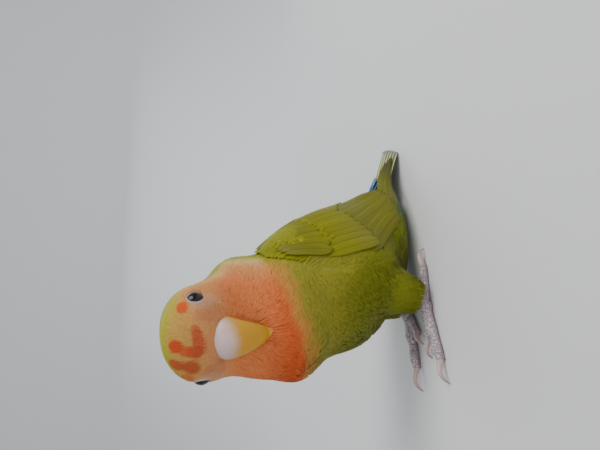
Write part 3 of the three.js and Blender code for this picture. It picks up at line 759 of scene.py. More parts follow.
@dataclass(frozen=True)
class Finish:
    """A finish: its shader values, and the shared effect that gives its colour and bump."""

    name: str
    roughness: float
    effect: str
    effect_values: tuple[tuple[str, object], ...] = ()
    bump: float = 0.2
    bump_depth: float = 0.0002
    sheen: float = 0.0
    subsurface: float = 0.0
    coat: float = 0.0
    shine: float = 0.5
    sheen_roughness: float = 0.4
    subsurface_scale: float = 0.001
    coat_roughness: float = 0.08

    def make(self, effects: Effects) -> bpy.types.Material:
        """The node material of this finish.

        Args:
            effects: The shared node groups.

        Returns:
            The material.
        """
        material = bpy.data.materials.new(self.name)
        material.use_nodes = True
        nodes = Nodes(material.node_tree)
        shader = material.node_tree.nodes["Principled BSDF"]
        group = nodes.add("Group", node_tree=getattr(effects, self.effect))
        nodes.join(nodes.add("Attribute", attribute_name=PLUMAGE).outputs["Color"], group.inputs["Colour"])
        for title, value in self.effect_values:
            group.inputs[title].default_value = value
        nodes.join(group.outputs["Colour"], shader.inputs["Base Color"])
        bump = nodes.add("Bump")
        bump.inputs["Strength"].default_value = self.bump
        bump.inputs["Distance"].default_value = self.bump_depth
        nodes.join(group.outputs["Height"], bump.inputs["Height"])
        nodes.join(bump.outputs[0], shader.inputs["Normal"])
        for title, value in (
            ("Roughness", self.roughness),
            ("Specular IOR Level", self.shine),
            ("Sheen Weight", self.sheen),
            ("Sheen Roughness", self.sheen_roughness),
            ("Subsurface Weight", self.subsurface),
            ("Subsurface Scale", self.subsurface_scale),
            ("Coat Weight", self.coat),
            ("Coat Roughness", self.coat_roughness),
        ):
            shader.inputs[title].default_value = value
        return material


@dataclass
class Finishes:
    """All finishes of the bird, made once."""

    effects: Effects = field(default_factory=Effects)
    made: dict[str, bpy.types.Material] = field(default_factory=dict)
    kinds: tuple[Finish, ...] = (
        Finish(
            "plumage_skin", 0.9, "mottle", (("Dark", (0.25, 0.12, 0.05, 1)), ("Amount", 0.35)), shine=0.15,
        ),
        Finish(
            "plumage_coat", 0.72, "mottle",
            (("Dark", (0.1, 0.07, 0.02, 1)), ("Scale", 900.0), ("Amount", 0.22)),
            bump=0.12, sheen=0.05, shine=0.18,
        ),
        Finish(
            "plumage_flight", 0.5, "barbs", (("Count", 420.0), ("Slope", 0.35)),
            bump=0.2, bump_depth=0.0001, shine=0.25,
        ),
        Finish(
            "bill_horn", 0.28, "mottle",
            (("Dark", (0.45, 0.22, 0.1, 1)), ("Scale", 260.0), ("Amount", 0.16)),
            bump=0.06, subsurface=0.1, coat=0.15, shine=0.25,
        ),
        Finish(
            "cere_skin", 0.5, "mottle",
            (("Dark", (0.5, 0.3, 0.25, 1)), ("Scale", 900.0), ("Amount", 0.2)),
            bump=0.2, subsurface=0.3,
        ),
        Finish(
            "eye_ring_skin", 0.55, "scales", (("Seam", (0.42, 0.32, 0.28, 1)), ("Scale", 2600.0)),
            bump=0.15, subsurface=0.2,
        ),
        Finish(
            "eye_gloss", 0.08, "mottle", (("Dark", (0, 0, 0, 1)), ("Amount", 0.1)),
            bump=0.0, coat=0.25, shine=0.3,
        ),
        Finish(
            "foot_skin", 0.6, "scales", (("Seam", (0.3, 0.24, 0.25, 1)), ("Scale", 1100.0)),
            bump=0.7, bump_depth=0.0004,
        ),
        Finish(
            "claw_horn", 0.32, "mottle",
            (("Dark", (0.16, 0.1, 0.08, 1)), ("Scale", 500.0), ("Amount", 0.3)),
            bump=0.08, subsurface=0.2, coat=0.3,
        ),
    )

    def get(self, name: str) -> bpy.types.Material:
        """The material of that name, made when first asked for."""
        if name not in self.made:
            kind = next(kind for kind in self.kinds if kind.name == name)
            self.made[name] = kind.make(self.effects)
        return self.made[name]


# Skin and coat


@dataclass
class Skin:
    """Closed skin under the coat, with the feathered shanks, on a grid of t and phi."""

    form: BodyForm
    marks: Markings
    finishes: Finishes
    rings: int = 190
    round: int = 192
    depth_body: float = 0.75
    depth_head: float = 0.5
    depth_edge: float = 0.3
    shank_share: float = 0.7
    # Darkening of the skin's colours: painted shade for the skin seen in the gaps under the coat.
    shade: float = 0.8
    bill_middle: Place = (0, -15, -3.5)
    bill_reach: Place = (8.5, 8, 9.5)
    nodes: tuple[str, ...] = ("rump", "torso", "neck", "head", "leg_left", "leg_right")

    def depth(self, t: Array, points: Array) -> Array:
        """Depth of the coat: body to head along t, thinner near the bill and the eyes.

        Args:
            t: Places along the bird.
            points: Places on the outer form.

        Returns:
            Depth in millimetres.
        """
        deep = mix(self.depth_body, self.depth_head, smooth_step(t, 0.58, 0.76))
        local = self.form.head.into(points)
        bill = np.linalg.norm((local - np.array(self.bill_middle)) / np.array(self.bill_reach), axis=-1)
        return mix(self.depth_edge, deep, smooth_step(bill, 0.8, 1.3))

    def outline(self, t: Array, phi: Array) -> tuple[Array, Array]:
        """Outer form and skin below it at the same rays."""
        outer = self.form.surface(t, phi, 0.0)
        return outer, self.form.surface(t, phi, -self.depth(t, outer))

    def build(self) -> bpy.types.Object:
        """The skin: rings between two poles, and a tube for each shank.

        Returns:
            The skin's object.
        """
        t = np.linspace(0, 1, self.rings + 2)[1:-1]
        phi = np.arange(self.round) * 2 * np.pi / self.round
        grid_t, grid_phi = np.meshgrid(t, phi, indexing="ij")
        _, body = self.outline(grid_t.ravel(), grid_phi.ravel())
        _, ends = self.outline(np.array([0.0, 1.0]), np.zeros(2))
        points = np.concatenate([body, ends])
        faces = outward(points, tube_faces(self.rings, self.round))
        quads, tips = [faces[0]], [faces[1]]
        for side in Side:
            ring_points, ring_faces = Shank(side).skin(self.depth_body * self.shank_share)
            quads.append(ring_faces[0] + len(points))
            tips.append(ring_faces[1] + len(points))
            points = np.concatenate([points, ring_points])
        # Painted shade: the skin's plumage colours are darkened by the shade factor.
        tone = self.marks.colours(points) * self.shade
        return MeshPiece(
            "skin", points, [np.concatenate(quads), np.concatenate(tips)],
            self.finishes.get("plumage_skin"), "peach", tone, replaces=self.nodes,
        ).build()


@dataclass
class Shank:
    """Feathered shank of one leg as a tube along a line; the right one stands further in and back."""

    side: Side
    line: tuple[tuple[float, float, float], ...] = (
        (11, 7.5, 20), (11, 6.0, 14), (11, 4.6, 9.5), (10.8, 3.6, 6.4), (10.6, 3.0, 4.6),
    )

    def radii(self) -> tuple[float, ...]:
        """Radius at each point of the line."""
        return (7.8, 7.2, 6.4, 5.0, 3.0) if self.side is Side.LEFT else (7.0, 6.0, 4.8, 3.8, 2.7)

    def centres(self) -> Array:
        """The line on this side."""
        return self.side.placed(np.array(self.line, float))

    def distance(self, points: Array) -> Array:
        """Distance to the shank: the least of |p - c(w)| - r(w) at each stretch's nearest place w.

        Args:
            points: Places in millimetres.

        Returns:
            Negative inside.
        """
        centres, radii = self.centres(), self.radii()
        best = np.full(points.shape[:-1], 1e3)
        for start, end, wide, narrow in zip(centres[:-1], centres[1:], radii[:-1], radii[1:]):
            run = end - start
            w = np.clip((points - start) @ run / (run @ run), 0, 1)
            far = np.linalg.norm(points - start - w[..., None] * run, axis=-1)
            best = np.minimum(best, far - mix(wide, narrow, w))
        return best

    def at(self, s: Array, angle: Array, inset: Array | float) -> tuple[Array, Array, Array]:
        """Place on the shank: c(s) + (r(s) - inset) (side cos a + front sin a).

        Args:
            s: Place along the line from 0 to 1.
            angle: Angle round it, in radians.
            inset: How far inside the outer form.

        Returns:
            Points, outward normals and directions down the leg.
        """
        points = self.centres()
        u = s * (len(points) - 1)
        centre, along = smooth_line(points, u)
        across = unit(np.cross(along, np.array([0.0, 1.0, 0.0])))
        front = np.cross(across, along)
        out = across * np.cos(angle)[..., None] + front * np.sin(angle)[..., None]
        radius = np.interp(u, np.arange(len(points)), self.radii()) - inset
        return centre + out * radius[..., None], out, along

    def skin(self, inset: float, rows: int = 24, cols: int = 40) -> tuple[Array, list[Array]]:
        """Closed tube under the shank's coat.

        Args:
            inset: Depth of the coat.
            rows: Rings along it.
            cols: Points round it.

        Returns:
            Points and faces.
        """
        s, angle = np.meshgrid(np.linspace(0, 1, rows), np.arange(cols) * 2 * np.pi / cols, indexing="ij")
        ring, _, _ = self.at(s.ravel(), angle.ravel(), inset)
        ends = np.stack([ring[:cols].mean(0), ring[-cols:].mean(0)])
        points = np.concatenate([ring, ends])
        return points, outward(points, tube_faces(rows, cols))


@dataclass
class VaneBed:
    """Many small keeled vanes as one mesh: three rings of three points and a tip each."""

    stations: tuple[float, ...] = (0.0, 0.38, 0.76)
    widths: tuple[float, ...] = (0.45, 1.0, 0.8)
    keel: float = 0.1

    def points(
        self, root: Array, normal: Array, lie: Array, length: Array, width: Array,
        level: Callable[[Array, Array], Array],
    ) -> Array:
        """Points of every vane: root + lie L s + side e W w(s) / 2 at the level of s, with a keel.

        Args:
            root: Roots on the outer form.
            normal: Outward normals there.
            lie: Directions along the surface.
            length: Lengths.
            width: Full widths.
            level: Moves points to their height over the form for each s.

        Returns:
            An array of vanes, ten points each.
        """
        across = np.cross(normal, lie)
        rows = []
        for s, w in zip(self.stations, self.widths):
            centre = root + lie * (length * s)[:, None]
            for edge in (-0.5, 0.0, 0.5):
                p = centre + across * (edge * w * width)[:, None]
                raised = normal * (self.keel * width * (edge == 0))[:, None]
                rows.append(level(p, np.full(len(p), s)) + raised)
        tip = root + lie * length[:, None]
        rows.append(level(tip, np.ones(len(tip))))
        return np.stack(rows, axis=1)

    @staticmethod
    def faces(count: int) -> list[Array]:
        """Faces of all vanes: a wall of three sides, a root cap and a tip.

        Args:
            count: Number of vanes.

        Returns:
            Quads and triangles.
        """
        quads, triangles = [], [(0, 1, 2)]
        for row in (0, 3):
            for k in range(3):
                a, b = row + k, row + (k + 1) % 3
                quads.append((a, a + 3, b + 3, b))
        for k in range(3):
            triangles.append((6 + k, 9, 6 + (k + 1) % 3))
        start = np.arange(count)[:, None, None] * 10
        return [(start + np.array(part)[None]).reshape(-1, len(part[0])) for part in (quads, triangles)]

    def tones(self, colour: Array, shade: Array) -> Array:
        """Colours along each vane, with painted shade at its root under the neighbouring vanes: c shade
        (0.9, 0.96, 1.0, 1.04).
        """
        # Painted shade: the colour falls to 0.9 at each vane's root, where it lies under its neighbours, and
        # rises to 1.04 at its tip.
        root_shade = np.repeat([0.9, 0.96, 1.0], 3).tolist() + [1.04]
        return (colour[:, None, :] * shade[:, None, None] * np.array(root_shade)[None, :, None]).reshape(-1, 3)

    def soften(self, points: Array, normal: Array, share: float) -> Array:
        """Shading normals: each point's own turned towards the body's, unit(n share + own (1 - share)).

        Args:
            points: Points of every vane.
            normal: The body's normal at each root.
            share: Weight of the body's normal.

        Returns:
            One direction for each point.
        """
        ring = points[:, :9].reshape(len(points), 3, 3, 3)
        across = unit(ring[:, :, 2] - ring[:, :, 0])
        edge = np.zeros((len(points), 10, 3))
        for k, sign in enumerate((-0.8, 0.0, 0.8)):
            edge[:, k:9:3] = across * sign
        own = unit(normal[:, None] + edge)
        return unit(normal[:, None] * share + own * (1 - share)).reshape(-1, 3)

    def piece(
        self, name: str, points: Array, normal: Array, tones: Array, place: Array,
        material: bpy.types.Material, slot: str, share: float = 0.7,
    ) -> bpy.types.Object:
        """All vanes as one object.

        Args:
            name: Name of the piece.
            points: Points of every vane.
            normal: The body's normal at each root.
            tones: One colour for each point.
            place: Root place from 0 to 1 on both axes.
            material: Its finish.
            slot: Slot name, stored with the piece but not used.
            share: Weight of the body's normal in the shading.

        Returns:
            The object.
        """
        return MeshPiece(
            name, points.reshape(-1, 3), self.faces(len(points)), material, slot,
            np.clip(tones, 0, 1), {BAKE_MAP: self.patch(place)},
            normals=self.soften(points, normal, share),
        ).build()

    def patch(self, place: Array) -> Array:
        """Bake places: a patch of 0.003 round each root, on the unwrap of the skin by phi and t.

        Args:
            place: Root place from 0 to 1 on both axes.

        Returns:
            One place for each point.
        """
        offsets = [(edge, s - 0.5) for s in self.stations for edge in (-0.5, 0.0, 0.5)] + [(0.0, 0.5)]
        spread = np.array(offsets) * TUFT_PATCH
        return (place[:, None, :] + spread[None]).reshape(-1, 2)


class Zone(Enum):
    """Stretches of the coat along the body: from, to, area of one vane, length and width in mm."""

    RUMP = (0.0, 0.27, 0.26, 5.6, 0.7)
    BELLY = (0.27, 0.42, 0.2, 6.2, 0.6)
    BREAST = (0.42, 0.55, 0.17, 5.4, 0.52)
    BIB = (0.55, 0.65, 0.12, 4.2, 0.44)
    THROAT = (0.65, 0.74, 0.09, 3.2, 0.38)
    CHEEK = (0.74, 0.83, 0.065, 2.4, 0.32)
    CROWN = (0.83, 1.0, 0.072, 2.4, 0.32)


@dataclass
class Coat:
    """Body feathers in zones, sown evenly over the skin and laid along the coat's lie."""

    form: BodyForm
    marks: Markings
    skin: Skin
    finishes: Finishes
    rng: np.random.Generator
    bed: VaneBed = field(default_factory=VaneBed)
    wing_low: Edge = ((0.0, 82.0), (0.18, 66.0), (0.31, 66.0), (0.41, 84.0), (0.5, 108.0))
    wing_high: Edge = ((0.0, 84.0), (0.11, 110.0), (0.2, 138.0), (0.3, 152.0), (0.5, 150.0))
    flank: Edge = ((0.18, 50.0), (0.31, 52.0), (0.36, 56.0), (0.41, 71.0), (0.48, 88.0))
    bill_half: Edge = (
        (-14.5, 0), (-13, 2.8), (-10, 4.4), (-6, 5.6), (-2, 5.6), (0.6, 4.6), (2.2, 3.8), (3.1, 0),
    )
    source: Place = (0.0, -12.0, -2.5)
    wisp: Colour = (196, 200, 96)
    stray: float = 0.1
    uneven: float = 0.08
    speckle: float = 0.07
    flank_vane: tuple[float, float] = (6.8, 0.5)
    shank_vane: tuple[float, float] = (5.0, 0.6)

    def lie(self, points: Array, normal: Array, t: Array) -> Array:
        """Lie of the coat: away from the bill on the head, then down the spine to the tail.

        Args:
            points: Places on the outer form.
            normal: Normals there.
            t: Places along the bird.

        Returns:
            Directions along the surface.
        """
        away = points - self.form.head.out(np.array(self.source))
        far = np.linalg.norm(away, axis=-1)
        _, along = self.form.ray(np.clip(t, self.form.cap_low, self.form.cap_high), np.zeros(len(t)))
        share = smooth_step(far, 14, 30)[:, None]
        return across_flat(mix(unit(away), -along, share), normal)

    def bare(self, points: Array, t: Array, phi: Array) -> Array:
        """True where no body feather grows: eyes, bill, and under the folded wings.

        Args:
            points: Places on the outer form.
            t: Places along the bird.
            phi: Angles in radians.

        Returns:
            One truth for each place.
        """
        local = self.form.head.into(points)
        bill = (local[:, 1] < -8) & (np.abs(local[:, 0]) < along_edge(self.bill_half, local[:, 2]))
        eye = np.zeros(len(points), bool)
        for side in Side:
            eye |= np.linalg.norm(points - Eye(self.form, side).on_skin(), axis=1) < Eye.bare
        angle = np.degrees(np.minimum(phi, 2 * np.pi - phi))
        wing = (angle > along_edge(self.wing_low, t)) & (angle < along_edge(self.wing_high, t)) & (t < 0.5)
        return bill | eye | wing

    def sow(self, zone: Zone) -> tuple[Array, Array]:
        """Even places in a zone: steps along the summed area of the grid's cells, each shifted by chance.

        Args:
            zone: The stretch of the coat.

        Returns:
            Values of t and phi of the roots.
        """
        low, high, area, _, _ = zone.value
        rows, cols = 90, 180
        t = np.linspace(low, high, rows + 1)
        phi = np.linspace(0, 2 * np.pi, cols + 1)
        grid_t, grid_phi = np.meshgrid(t, phi, indexing="ij")
        p = self.form.surface(grid_t.ravel(), grid_phi.ravel(), 0.0).reshape(rows + 1, cols + 1, 3)
        cell = np.linalg.norm(np.cross(p[1:, :-1] - p[:-1, :-1], p[:-1, 1:] - p[:-1, :-1]), axis=-1)
        cell[1::2] = cell[1::2, ::-1]
        total = np.cumsum(cell.ravel())
        count = int(total[-1] / area)
        wanted = (np.arange(count) + self.rng.random(count)) * total[-1] / count
        index = np.minimum(np.searchsorted(total, wanted), rows * cols - 1)
        row, col = index // cols, index % cols
        col = np.where(row % 2 == 1, cols - 1 - col, col)
        return (
            t[row] + self.rng.random(count) * (t[1] - t[0]),
            phi[col] + self.rng.random(count) * (phi[1] - phi[0]),
        )

    def zone(self, zone: Zone) -> bpy.types.Object:
        """One zone of the coat.

        Args:
            zone: The stretch of the coat.

        Returns:
            Its object.
        """
        _, _, _, long, wide = zone.value
        t, phi = self.sow(zone)
        root = self.form.surface(t, phi, 0.0)
        keep = ~self.bare(root, t, phi)
        t, phi, root = t[keep], phi[keep], root[keep]
        normal = self.form.normal(root)
        lie = self.lie(root, normal, t)
        across = np.cross(normal, lie)
        stray = self.rng.normal(0, self.stray, len(t))[:, None]
        lie = unit(lie + across * stray)
        deep = self.skin.depth(t, root)
        face = smooth_step(deep, 0.35, 0.6)
        length = long * self.rng.uniform(0.75, 1.2, len(t)) * mix(0.6, 1.0, face)
        width = wide * self.rng.uniform(0.8, 1.2, len(t)) * mix(0.75, 1.0, face)
        lift = self.rng.normal(0, self.uneven, len(t)) * deep

        def level(points: Array, s: Array) -> Array:
            """Height over the form: from under the skin at the root up to the coat's surface at the tip."""
            wanted = -deep * (1.25 - 1.25 * np.minimum(1, s * 1.25) ** 0.8) + lift * s
            gap = wanted - self.form.coat_field(points)
            return points + normal * gap[:, None]

        points = self.bed.points(root, normal, lie, length, width, level)
        colour = self.marks.colours(root + lie * (length * 0.7)[:, None])
        shade = self.rng.normal(1.0, self.speckle, len(t))
        tones = self.bed.tones(colour, shade)
        place = np.stack([phi / (2 * np.pi), t], axis=1)
        return self.bed.piece(
            f"coat_{zone.name.lower()}", points, normal, tones, place, self.finishes.get("plumage_coat"),
            "green" if zone.value[1] < 0.56 else "peach",
        )

    def fringe(self, side: Side, count: int = 3000) -> bpy.types.Object:
        """Flank feathers that lie over the front edge of the folded wing.

        Args:
            side: Which wing.
            count: Number of vanes.

        Returns:
            The object.
        """
        t = self.rng.uniform(0.27, 0.49, count)
        edge = along_edge(self.flank, t)
        angle = np.radians(edge - self.rng.uniform(0, 20, count)) * side.value
        root = self.form.surface(t, angle, 0.0, True)
        normal = self.form.normal(root, True)
        down = unit(self.form.surface(t - 0.02, angle, 0.0, True) - root)
        back = unit(self.form.surface(t, angle + 0.05 * side.value, 0.0, True) - root)
        lie = across_flat(down + back * self.rng.uniform(0.0, 0.25, count)[:, None], normal)
        length, width = self.flank_vane
        length = length * self.rng.uniform(0.8, 1.15, count)
        width = width * self.rng.uniform(0.8, 1.2, count)
        close = smooth_step(angle * side.value - np.radians(edge - 16), 0.0, 0.25)

        def level(points: Array, s: Array) -> Array:
            """Height over the form: from under the skin at the root up and over the wing's edge."""
            wanted = mix(-0.5, mix(0.1, 1.3, close), smooth_step(s, 0.0, 0.8))
            return points + normal * (wanted - self.form.field(points, True))[:, None]

        points = self.bed.points(root, normal, lie, length, width, level)
        tones = self.bed.tones(self.marks.colours(root), self.rng.normal(0.98, 0.06, count))
        place = np.stack([(angle / (2 * np.pi)) % 1, t], axis=1)
        return self.bed.piece(
            f"coat_flank_{side.word}", points, normal, tones, place,
            self.finishes.get("plumage_coat"), "green",
        )

    def shank(self, side: Side, count: int = 4200) -> bpy.types.Object:
        """Feathers of one shank, lying down the leg.

        Args:
            side: Which leg.
            count: Number of vanes.

        Returns:
            Its object.
        """
        form = Shank(side)
        s = self.rng.uniform(0.05, 0.76, count)
        angle = self.rng.uniform(0, 2 * np.pi, count)
        deep = self.skin.shank_share * self.skin.depth_body
        root, normal, lie = form.at(s, angle, 0.0)
        taper = mix(1.0, 0.35, s * s)
        length, width = self.shank_vane
        length = length * self.rng.uniform(0.7, 1.2, count) * taper
        width = width * self.rng.uniform(0.8, 1.2, count) * taper
        lie = unit(lie + np.cross(normal, lie) * self.rng.normal(0, self.stray, count)[:, None])
        loose = self.rng.uniform(0, 0.9, count) * smooth_step(s, 0.3, 0.9)

        def level(points: Array, s: Array) -> Array:
            """Height over the shank and the body's edge, rising from the skin to the surface."""
            wanted = -deep * (1.2 - 1.2 * np.minimum(1, s * 1.3) ** 0.8) * taper + loose * s
            gap = np.clip(wanted - self.form.coat_field(points), -0.5, 3.0)
            return points + normal * gap[:, None]

        points = self.bed.points(root, normal, lie, length, width, level)
        pale = (0.45 * smooth_step(s, 0.55, 0.9) * self.rng.random(count))[:, None]
        colour = mix(self.marks.colours(root), linear(*self.wisp), pale)
        tones = self.bed.tones(colour, self.rng.normal(1.0, self.speckle, count))
        place = np.stack([angle / (2 * np.pi), s], axis=1)
        return self.bed.piece(
            f"coat_shank_{side.word}", points, normal, tones, place,
            self.finishes.get("plumage_coat"), "green",
        )

    def build(self) -> None:
        """Every zone, both shanks and both flanks."""
        for zone in Zone:
            self.zone(zone)
        for side in Side:
            self.shank(side)
            self.fringe(side)


# Wings and tail


@dataclass(frozen=True)
class Tier:
    """One tier of wing feathers, first to last: roots, tips, half widths, heights, colours and bow."""

    name: str
    count: int
    root_t: tuple[float, float]
    root_phi: tuple[float, float]
    tip_t: tuple[float, float]
    tip_phi: tuple[float, float]
    half: tuple[float, float]
    lift: tuple[float, float]
    base: Colour
    edge: Colour
    tip: Colour
    bow: float = 0.012


@dataclass
class FeatherForm:
    """Outline of one large feather and the closed slab that it becomes."""

    rows: int = 15
    cols: int = 9
    thick: float = 0.2
    rachis: float = 0.06
    camber: float = 0.18
    root_share: float = 0.45
    round_from: float = 0.72

    def grid(self) -> tuple[Array, Array]:
        """Places along (s) and across (e) of one feather, as rows by columns."""
        s = np.linspace(0, 1, self.rows) ** 0.85
        return np.meshgrid(s, np.linspace(-1, 1, self.cols), indexing="ij")

    def width(self, s: Array) -> Array:
        """Share of the half width: rises from the root's, then sqrt(1 - ((s - a) / (1 - a))^2) past a."""
        grow = mix(self.root_share, 1.0, smooth_step(s, 0.0, 0.3))
        past = np.maximum(0, s - self.round_from) / (1.0001 - self.round_from)
        return grow * np.maximum(np.sqrt(np.maximum(0.0, 1 - past**2)), 0.06)

    def spine(self, s: Array, e: Array) -> Array:
        """Height of the shaft over the vane: r exp(-(e / 0.1)^2) (1 - s)."""
        return self.rachis * np.exp(-((e / 0.1) ** 2)) * (1 - s)

    def faces(self) -> list[Array]:
        """Quads of the top, the underside and the rim of one slab."""
        top = grid_faces(self.rows, self.cols)
        low = self.rows * self.cols
        last = self.rows - 1
        rim = (
            [c for c in range(self.cols - 1)]
            + [r * self.cols + self.cols - 1 for r in range(last)]
            + [last * self.cols + c for c in range(self.cols - 1, 0, -1)]
            + [r * self.cols for r in range(last, 0, -1)]
        )
        ring = np.array(rim)
        after = np.roll(ring, -1)
        wall = np.stack([ring, ring + low, after + low, after], axis=-1)
        return [np.concatenate([top, top[:, ::-1] + low, wall])]


@dataclass
class FeatherSet:
    """Large feathers gathered into one piece."""

    form: FeatherForm = field(default_factory=FeatherForm)
    points: list[Array] = field(default_factory=list)
    tones: list[Array] = field(default_factory=list)
    places: list[Array] = field(default_factory=list)

    def add(self, top: Array, under: Array, tone: Array) -> None:
        """Adds one feather by its two faces and its colours, all as rows by columns, with painted shade on
        the underside.
        """
        s, e = self.form.grid()
        self.points.append(np.concatenate([top.reshape(-1, 3), under.reshape(-1, 3)]))
        # Painted shade: the underside takes the top's colours times 0.7.
        self.tones.append(np.concatenate([tone.reshape(-1, 3), tone.reshape(-1, 3) * 0.7]))
        place = np.stack([(e.ravel() + 1) / 2, s.ravel()], axis=1)
        self.places.append(np.concatenate([place, place]))

    def piece(
        self, name: str, material: bpy.types.Material, slot: str, replaces: tuple[str, ...],
    ) -> bpy.types.Object:
        """All feathers as one object.

        Args:
            name: Name of the piece.
            material: Its finish.
            slot: Slot name, stored with the piece but not used.
            replaces: Solid nodes that it stands for.

        Returns:
            The object.
        """
        size = len(self.points[0])
        faces = []
        for k, points in enumerate(self.points):
            faces.append(outward(points, self.form.faces())[0] + k * size)
        return MeshPiece(
            name, np.concatenate(self.points), [np.concatenate(faces)], material, slot,
            np.clip(np.concatenate(self.tones), 0, 1), {VANE_MAP: np.concatenate(self.places)}, replaces,
        ).build()


HAY = (150, 160, 40)
OLIVE = (122, 120, 6)
LIME = (138, 138, 16)
MOSS = (108, 108, 4)
FERN = (70, 96, 56)
SLATE = (62, 66, 60)
TEAL = (70, 138, 112)
SKY = (70, 104, 188)
DEEP_BLUE = (52, 84, 170)
STRAW = (160, 170, 78)
PALE = (196, 204, 146)
BONE = (178, 190, 140)
SOOT = (38, 40, 34)
ASH = (84, 94, 92)


@dataclass
class Wing:
    """One folded wing: small coverts at its shoulder and tiers of long feathers over the body."""

    form: BodyForm
    finishes: Finishes
    rng: np.random.Generator
    side: Side
    tilt: float = 0.14
    curl: float = 1.2
    ragged: tuple[float, float, float, float] = (0.004, 0.8, 0.08, 0.06)
    covert_count: int = 2600
    covert_reach: tuple[float, float] = (0.3, 0.545)
    covert_end: float = 0.41
    covert_root: float = 1.6
    covert_vane: tuple[float, float] = (5.0, 1.5)
    stray: float = 0.1
    speckle: float = 0.07
    feather: FeatherForm = field(default_factory=FeatherForm)
    tiers: tuple[Tier, ...] = (
        Tier(
            "outer_primaries", 2, (0.2, 0.19), (60, 65), (-0.075, -0.07), (50, 55),
            (1.6, 1.6), (0.85, 0.95), FERN, TEAL, SLATE,
        ),
        Tier(
            "primaries", 5, (0.19, 0.17), (68, 88), (-0.066, -0.04), (59, 78),
            (1.8, 2.0), (0.95, 1.3), MOSS, OLIVE, SLATE,
        ),
        # The secondaries' darker MOSS base and tip are partly their own colour and partly painted shade of
        # the lower wing.
        Tier(
            "secondaries", 10, (0.34, 0.34), (63, 142), (0.125, 0.09), (60, 107),
            (2.6, 2.8), (1.0, 1.8), MOSS, OLIVE, MOSS, 0.03,
        ),
        Tier(
            "tertials", 5, (0.49, 0.48), (126, 162), (0.25, 0.15), (118, 152),
            (2.8, 3.0), (1.1, 2.0), OLIVE, LIME, LIME,
        ),
        Tier(
            "greater_coverts", 9, (0.42, 0.45), (81, 138), (0.285, 0.28), (63, 116),
            (2.4, 2.6), (1.2, 2.25), OLIVE, LIME, OLIVE,
        ),
        Tier(
            "median_coverts", 8, (0.5, 0.53), (106, 146), (0.4, 0.385), (80, 136),
            (2.2, 2.4), (1.2, 2.25), MOSS, LIME, OLIVE,
        ),
    )
    low: Edge = (
        (0.09, 60), (0.18, 50), (0.31, 52), (0.36, 56), (0.41, 71), (0.48, 88), (0.52, 104), (0.545, 120),
    )
    high: Edge = (
        (0.07, 104), (0.11, 126), (0.2, 152), (0.3, 166), (0.45, 168), (0.5, 164), (0.53, 156), (0.545, 146),
    )

    def large(self, gathered: FeatherSet, tier: Tier, w: float) -> None:
        """Adds one long feather: its line runs from root to tip on the body, its outer edge rides up.

        Args:
            gathered: Where the feather goes.
            tier: The tier that it belongs to.
            w: Place in the tier from 0 to 1.
        """
        s, e = self.feather.grid()
        sign = self.side.value
        bow = np.sin(np.pi * w)
        chance = self.rng.uniform(-1, 1, 5)
        stray = np.array(self.ragged) * chance[:4]
        t = mix(mix(*tier.root_t, w), mix(*tier.tip_t, w) - tier.bow * bow + stray[0], s)
        phi = mix(mix(*tier.root_phi, w), mix(*tier.tip_phi, w) + stray[1], s)
        phi = np.radians(phi + self.curl * np.sin(np.pi * s)) * sign
        lift = mix(tier.lift[0], tier.lift[1] + stray[2], np.sqrt(s))
        centre = self.form.surface(t.ravel(), phi.ravel(), lift.ravel(), True).reshape(*s.shape, 3)
        run = np.gradient(centre[:, 0], axis=0)
        out = self.form.normal(centre[:, 0], True)
        side = unit(np.cross(out, run)) * sign
        half = mix(*tier.half, w) * (1 + stray[3]) * self.feather.width(s)
        flat = centre + side[:, None, :] * (e * half)[..., None]
        height = lift + self.tilt * e + self.feather.camber * (0.5 - e * e) * 0.5
        spine = self.feather.spine(s, e)
        rows = flat.reshape(-1, 3)
        top = self.form.to_level(rows, (height + spine).ravel() + self.feather.thick / 2, True)
        under = self.form.to_level(rows, height.ravel() - self.feather.thick / 2, True)
        gathered.add(top.reshape(flat.shape), under.reshape(flat.shape), self.tone(tier, s, e, chance[4]))

    @staticmethod
    def tone(tier: Tier, s: Array, e: Array, chance: float) -> Array:
        """Feather colour: base, brighter along the outer edge, the tip's own colour at its end, and painted
        shade along the lower inner edge.

        Args:
            tier: The tier with its three colours.
            s: Places along the feather.
            e: Places across it.
            chance: A number from -1 to 1 for this feather.

        Returns:
            One linear colour for each place.
        """
        rim = smooth_step(np.abs(e), 0.62, 1.0)
        colour = tint(linear(*tier.base), tier.edge, 0.75 * rim)
        colour = tint(colour, tier.tip, 0.7 * smooth_step(s, 0.55, 1.0))
        # Painted shade: the inner edge, which lies low under the next feather, is darkened towards colour
        # times 0.6.
        colour = mix(colour, colour * 0.6, (0.35 * smooth_step(-e, 0.3, 1.0))[..., None])
        streak = 1 + 0.07 * np.sin(9 * e + 4 * chance) * np.sin(5 * s + 3 * chance)
        return colour * ((1 + 0.05 * chance) * streak)[..., None]

    def core(self) -> tuple[Array, Array]:
        """Chance places t and phi of small coverts between the wing's edges."""
        t = self.rng.uniform(*self.covert_reach, self.covert_count)
        return t, mix(along_edge(self.low, t), along_edge(self.high, t), self.rng.random(self.covert_count))

